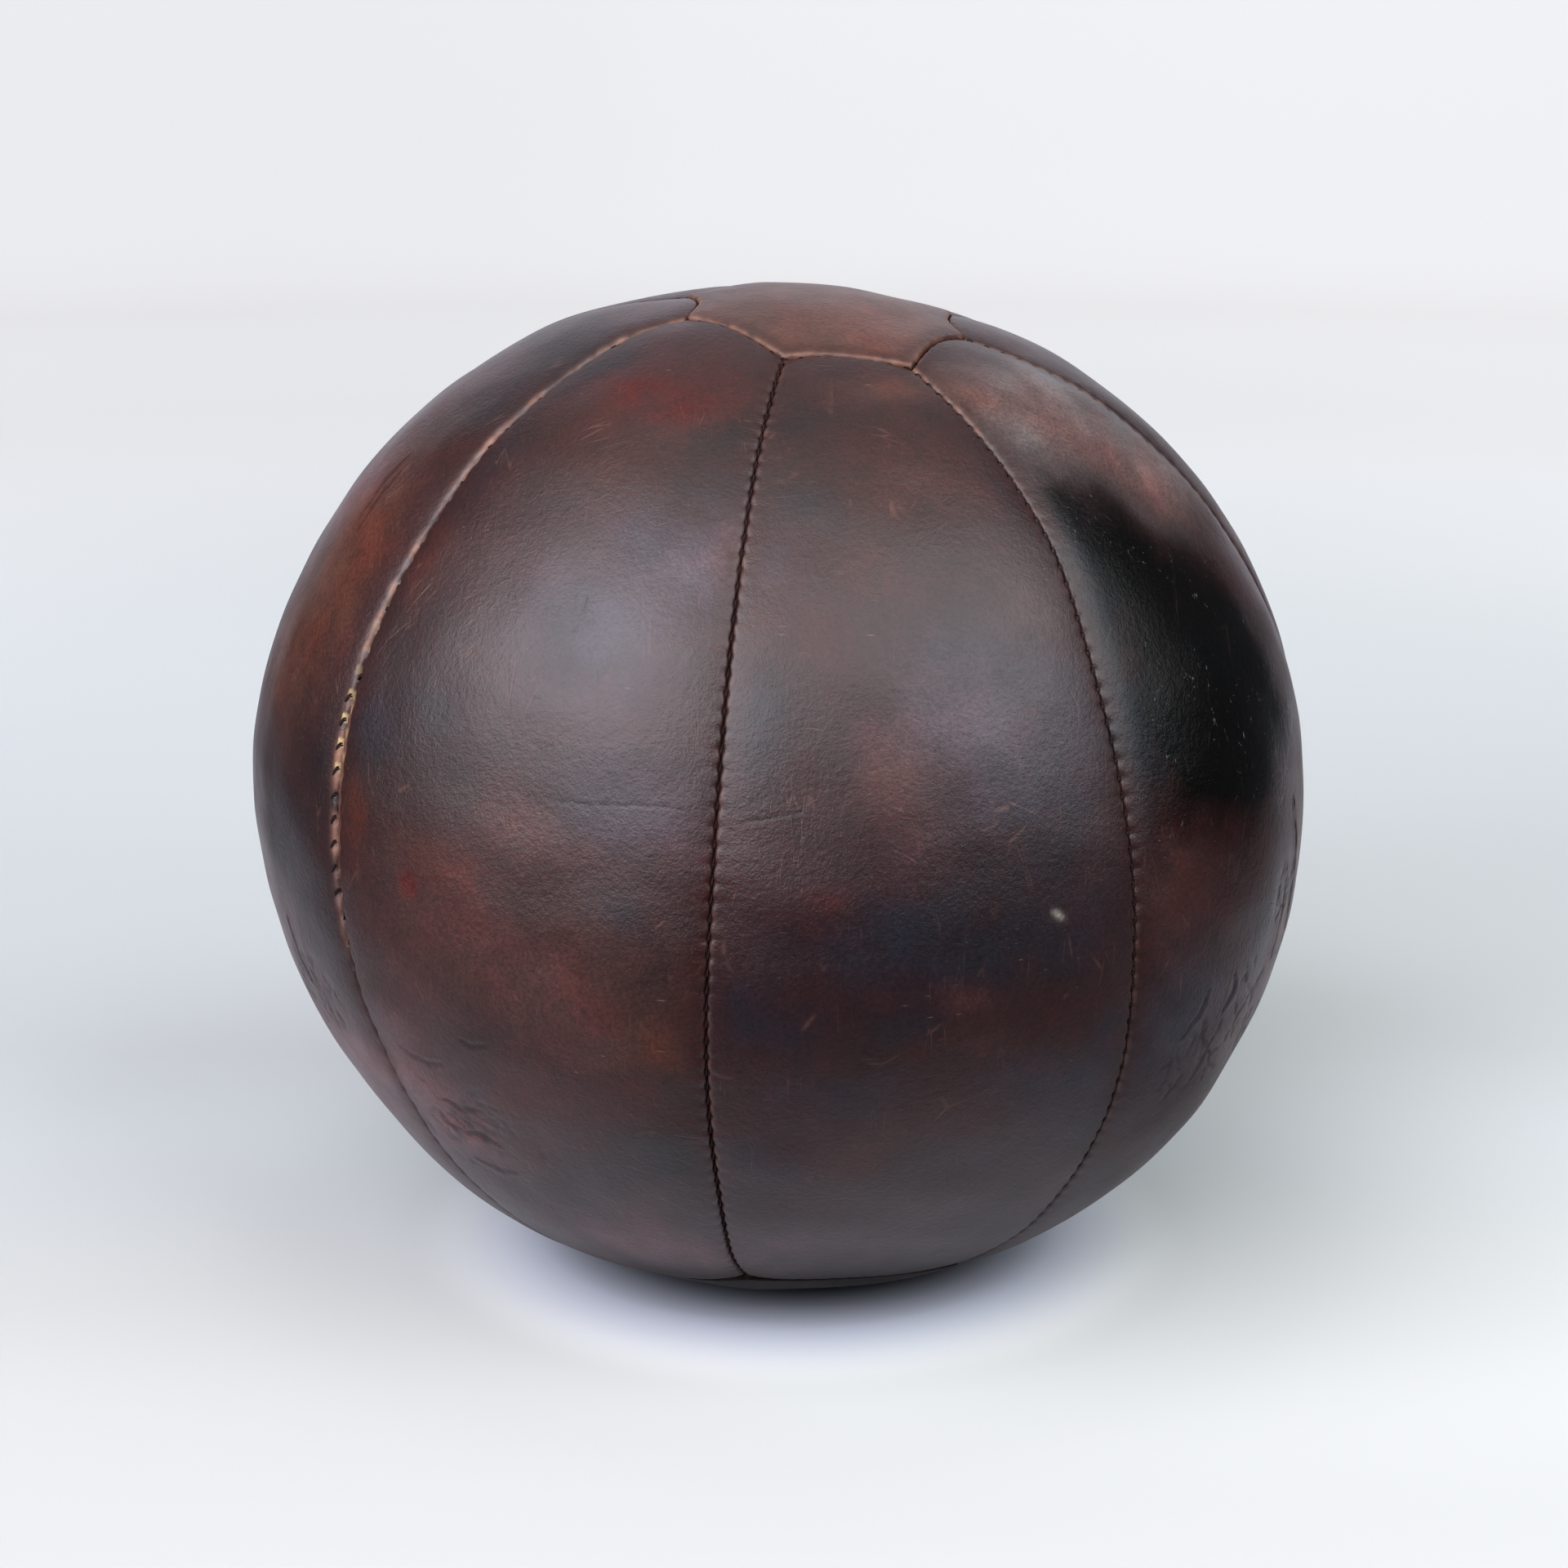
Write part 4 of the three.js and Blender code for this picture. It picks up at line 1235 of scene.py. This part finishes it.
def welt_leather():
    m = Nodes("welt_leather")
    bare, rubbed = m.attribute("bare"), m.attribute("rubbed")
    blotch = m.noise(260, 5, 0.65)
    stained = m.mix(m.span(blotch, 0.35, 0.65), rgb(25, 4, 5), rgb(40, 8, 8))
    tan = m.mix(m.span(blotch, 0.35, 0.65), rgb(84, 52, 40), rgb(112, 76, 60))
    colour = m.mix(bare, stained, tan)
    colour = m.mix(rubbed, colour, m.mix(blotch, rgb(140, 112, 70), rgb(166, 142, 96)))
    normal = m.bump(m.noise(1200, 4, 0.65), 0.0002, 0.5)
    return m.finish(colour, m.span(blotch, 0.3, 0.7, 0.6, 0.75), normal, 0.25)


def thread_material():
    m = Nodes("waxed_thread")
    fleck = m.noise(700, 3, 0.6)
    colour = m.mix(m.span(fleck, 0.42, 0.68), rgb(15, 3, 4), rgb(36, 11, 11))
    ply = m.add("ShaderNodeTexWave", wave_type="BANDS", bands_direction="DIAGONAL")
    m.link(m.place, ply.inputs["Vector"])
    ply.inputs["Scale"].default_value = 900
    ply.inputs["Distortion"].default_value = 1.5
    normal = m.bump(ply.outputs["Fac"], 0.00012, 0.6)
    return m.finish(colour, m.span(fleck, 0.3, 0.7, 0.65, 0.8), normal, 0.2)


def canvas():
    m = Nodes("lining_canvas")
    weave = None
    for axis in ("X", "Z"):
        wave = m.add("ShaderNodeTexWave", wave_type="BANDS", bands_direction=axis)
        m.link(m.place, wave.inputs["Vector"])
        wave.inputs["Scale"].default_value = 260
        wave.inputs["Distortion"].default_value = 0.6
        out = wave.outputs["Fac"]
        weave = out if weave is None else m.times(weave, out)
    stain = m.noise(22, 5, 0.6)
    colour = m.mix(m.span(stain, 0.35, 0.7), rgb(188, 170, 132), rgb(140, 116, 84))
    colour = m.mix(m.span(weave, 0.0, 0.5, 0.35, 0.0), colour, rgb(96, 78, 56))
    return m.finish(colour, 0.92, m.bump(weave, 0.0004, 0.7), 0.2)


def fibre():
    m = Nodes("stuffing_fibre")
    strands = m.noise(500, 6, 0.7, m.stretched((1, 3.5, 0.7), (0.5, 0.3, 0.9)), 2.0)
    tufts = m.noise(70, 5, 0.65)
    colour = m.mix(m.span(strands, 0.35, 0.65), rgb(84, 66, 48), rgb(160, 136, 104))
    colour = m.mix(m.span(tufts, 0.4, 0.65, 0.0, 0.5), colour, rgb(60, 46, 34))
    return m.finish(colour, 0.95, m.bump(strands, 0.0012, 0.8), 0.15)


LEATHER_LOOK = leather()
WELT_LOOK = welt_leather()
THREAD_LOOK = thread_material()

# ---- The pieces, each in place of its CAD node ----


def settle(obj, node):
    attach(obj, "root")
    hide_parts(node)


SPACING = {0: 1.0, 1: 1.0, 2: 1.0, 7: 1.1, 3: 1.3}  # mm between grid lines; the seen panels are finer
for n in range(PANELS):
    spacing = 3.0 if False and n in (4, 5, 6) else SPACING.get(n, 1.5)
    settle(gore_panel(n, spacing, LEATHER_LOOK), f"gore_panel_{n + 1}")
    seam = "closing_seam" if n == 0 else f"gore_seam_{n + 1}"
    settle(gore_welt(n, f"{seam}_strip", WELT_LOOK), f"{seam}_welt")
    settle(seam_thread(n, f"{seam}_stitches", THREAD_LOOK), f"{seam}_thread")
for end, side in ((1, "top"), (-1, "bottom")):
    settle(end_cap(end, f"leather_{side}_cap", LEATHER_LOOK), f"{side}_cap")
    settle(cap_welt(end, f"{side}_cap_strip", WELT_LOOK), f"{side}_cap_welt")
    settle(cap_thread(end, f"{side}_cap_stitches", THREAD_LOOK), f"{side}_cap_thread")
settle(lining_bag("canvas_lining", canvas()), "lining_bag")
settle(slit_thread("lining_slit_stitches", THREAD_LOOK), "lining_slit_thread")
settle(stuffing("fibre_stuffing", fibre()), "stuffing")

# ---- Floor, backdrop, light and camera ----


# Painted shade on the floor along the view: (metres behind the ball's middle, share of the pale tone).
FLOOR_SHADES = (
    (-3, 0.52), (-0.3, 0.53), (-0.19, 0.54), (-0.125, 0.58), (-0.064, 0.595), (0.013, 0.63), (0.09, 0.66),
    (0.156, 0.64), (0.232, 0.63), (0.315, 0.645), (0.408, 0.67), (0.513, 0.735), (0.633, 0.815), (0.83, 0.92),
    (1.3, 0.98), (4, 1.0),
)
# Painted shade and light across the floor: how much darker the left is, and paler the right.
FLOOR_TILT = (
    (-0.2, 0.06), (-0.1, 0.09), (0, 0.105), (0.15, 0.11), (0.23, 0.065), (0.32, 0.035), (0.42, 0.02), (0.6, 0.02),
    (0.8, 0.02), (1.3, 0.05), (1.6, 0.055), (3, 0.055),
)
# Painted contact shadow where the ball touches the floor, with a painted paler ring round it: (metres from its middle,
# share).
CONTACT = (
    (0, 0.06), (0.05, 0.09), (0.057, 0.27), (0.061, 0.41), (0.066, 0.63), (0.07, 0.85), (0.077, 1.14), (0.083, 1.48),
    (0.09, 1.56), (0.1, 1.48), (0.112, 1.3), (0.125, 1.1), (0.14, 1.04), (0.16, 1.0), (0.2, 1.0), (0.3, 1.0), (9, 1.0),
)
# Painted light: how strongly the wall glows, by distance from the middle.
FLOOR_GLOW = (
    (0, 0), (0.5, 0), (0.75, 0), (0.96, 0.06), (1.15, 0.175), (1.37, 0.295), (1.64, 0.385), (1.98, 0.495),
    (2.36, 0.535),
    (2.52, 0.523), (2.66, 0.507), (2.9, 0.502), (3.5, 0.56),
)
FLOOR_PALE, FLOOR_NEAR, CARD_PALE = rgb(201, 208, 210), rgb(203, 207, 205), rgb(180, 182, 187)
# the blue of the painted contact shadow
FLOOR_SHADOW = rgb(187, 193, 206)
BALL_MIDDLE = Vector((0, 0, CENTRE_HEIGHT / 1000))


def upturned(level, bend, wall, bend_steps, wall_steps):
    """Reach and height, in metres, of a level floor that turns up into a wall at its end."""
    foot, quarter = level[-1], bend * math.pi / 2
    rise = foot + quarter * np.linspace(0, 1, bend_steps)[1:]
    marks = np.concatenate([level, rise, foot + quarter + np.linspace(0, wall, wall_steps)[1:]])
    turn = np.clip((marks - foot) / bend, 0, math.pi / 2)
    reach = np.minimum(marks, foot) + bend * np.sin(turn)
    return reach[:, None], (bend * (1 - np.cos(turn)) + np.maximum(marks - foot - quarter, 0))[:, None]


def paper(m, colour):
    return m.finish(colour, 0.9, m.bump(m.noise(900, 2, 0.5), 0.0001, 0.1), 0.1)


def stage_sheet(name, points, closed, material, attributes, unseen_by):
    ids = np.arange(points[..., 0].size).reshape(points.shape[:2])
    faces = [grid_faces(ids, closed=closed)]
    obj = make_object(name, points.reshape(-1, 3) * 1000, faces, material, attributes)
    for ray in unseen_by:
        setattr(obj, f"visible_{ray}", False)


def studio_bowl():
    """A pale round floor that turns up into a wall, so that it is behind the ball in every view."""
    level = np.concatenate([np.linspace(0, 0.3, 61)[1:], np.linspace(0.3, 2.2, 191)[1:]])
    out, z = upturned(level, 1.2, 5.0, 30, 20)
    around = np.linspace(0, 2 * math.pi, 181)[:-1]
    points = np.stack([out * np.cos(around), out * np.sin(around), z + 0 * around], -1)
    x, y = points[..., 0].ravel(), points[..., 1].ravel()
    out = np.hypot(x - 0.005, y)
    tilt = 1 + np.clip(x / 0.25, -1, 1) * through(FLOOR_TILT, y)
    # Painted shade: the floor's gradient, its darker left and the contact shadow.
    shade = through(FLOOR_SHADES, y) * tilt * through(CONTACT, out)
    m = Nodes("pale_floor")
    tone = m.mix(m.attribute("near"), FLOOR_PALE, FLOOR_NEAR)
    # Painted shadow: the floor turns blue in the contact shadow.
    tone = m.mix(m.attribute("blue"), tone, FLOOR_SHADOW)
    material = paper(m, m.mix(m.attribute("shade"), (0, 0, 0), tone))
    # Painted light: the floor and wall glow.
    m.link(m.attribute("glow"), m.shader.inputs["Emission Strength"])
    m.shader.inputs["Emission Color"].default_value = (1.0, 0.968, 0.975, 1)
    glow = through(FLOOR_GLOW, np.hypot(x, y)) * (1 + 0.5 * smoothstep(0.5, -1.5, y))
    glow = glow * (1 + 0.04 * np.clip(x / 0.5, -1, 1))
    near, blue = smoothstep(0.1, -0.12, y), smoothstep(0.12, 0.08, out)
    attributes = {"shade": shade, "glow": glow, "near": near, "blue": blue}
    stage_sheet("studio_bowl", points, True, material, attributes, ("glossy", "diffuse", "shadow"))


def bounce_card():
    """The paper sweep under and behind the ball that the leather mirrors; the camera doesn't see it."""
    y, z = upturned(np.linspace(-0.34, 0.15, 40), 0.5, 0.35, 20, 6)
    points = np.stack(np.broadcast_arrays(np.linspace(-0.42, 0.42, 43), y, z - 0.0003), -1)
    x, y = points[..., 0], points[..., 1]
    # Painted shade in the reflections: the sheet darkens in front of and beside the ball.
    beside = 0.7 * smoothstep(0.06, 0.22, x) + 0.5 * smoothstep(0.12, 0.3, -x)
    shade = smoothstep(-0.3, -0.13, y) * (1 - beside * smoothstep(0.12, -0.02, y))
    m = Nodes("bounce_paper")
    material = paper(m, m.mix(m.attribute("shade"), (0.01, 0.01, 0.01), CARD_PALE))
    attributes = {"shade": shade.ravel()}
    stage_sheet("bounce_card", points, False, material, attributes, ("camera", "shadow", "diffuse"))


def area_light(name, azimuth, rise, distance, size, radiance, colour):
    """A soft light over the ball's middle; azimuth 0 is the camera's side, in degrees."""
    a, e = math.radians(azimuth), math.radians(rise)
    data = bpy.data.lights.new(name, "AREA")
    data.shape = "RECTANGLE"
    data.size, data.size_y = size
    data.energy = radiance * math.pi * size[0] * size[1]
    data.color = colour
    obj = bpy.data.objects.new(name, data)
    way = Vector((math.sin(a) * math.cos(e), -math.cos(a) * math.cos(e), math.sin(e)))
    obj.location = BALL_MIDDLE + distance * way
    obj.rotation_mode = "QUATERNION"
    obj.rotation_quaternion = (-way).to_track_quat("-Z", "Y")
    obj.visible_camera = False
    bpy.context.scene.collection.objects.link(obj)


studio_bowl()
bounce_card()
area_light("left_softbox", -40, 33, 1.6, (2.15, 1.5), 7.8, (0.975, 0.95, 1.035))
area_light("left_upper_softbox", -20, 66, 1.6, (2.2, 0.9), 2.25, (1.0, 0.93, 0.88))
area_light("left_strip", -64, 8, 1.7, (0.9, 0.9), 1.6, (0.96, 0.97, 1.0))
area_light("right_softbox", 57, 38, 1.7, (1.8, 1.6), 4.9, (0.96, 0.97, 1.0))
area_light("overhead_softbox", 180, 82, 1.9, (2.0, 1.2), 1.2, (1.0, 0.92, 0.86))

world = bpy.data.worlds.new("studio")
world.use_nodes = True
world.node_tree.nodes["Background"].inputs["Color"].default_value = (0.86, 0.9, 1.0, 1)
world.node_tree.nodes["Background"].inputs["Strength"].default_value = 0.10
bpy.context.scene.world = world
bpy.context.scene.view_settings.view_transform = "Standard"

CAMERA_RISE, CAMERA_AWAY = 15.57, 1.146  # degrees above level, metres from the ball's middle
camera = bpy.data.cameras.new("camera")
camera.sensor_width, camera.lens = 36, 82.5
camera.shift_x = 0.0014
camera.clip_start, camera.clip_end = 0.05, 40
eye = bpy.data.objects.new("camera", camera)
pitch = math.radians(CAMERA_RISE)
eye.location = BALL_MIDDLE + CAMERA_AWAY * Vector((0, -math.cos(pitch), math.sin(pitch)))
eye.rotation_mode = "QUATERNION"
eye.rotation_quaternion = (BALL_MIDDLE - eye.location).to_track_quat("-Z", "Y")
bpy.context.scene.collection.objects.link(eye)
bpy.context.scene.camera = eye
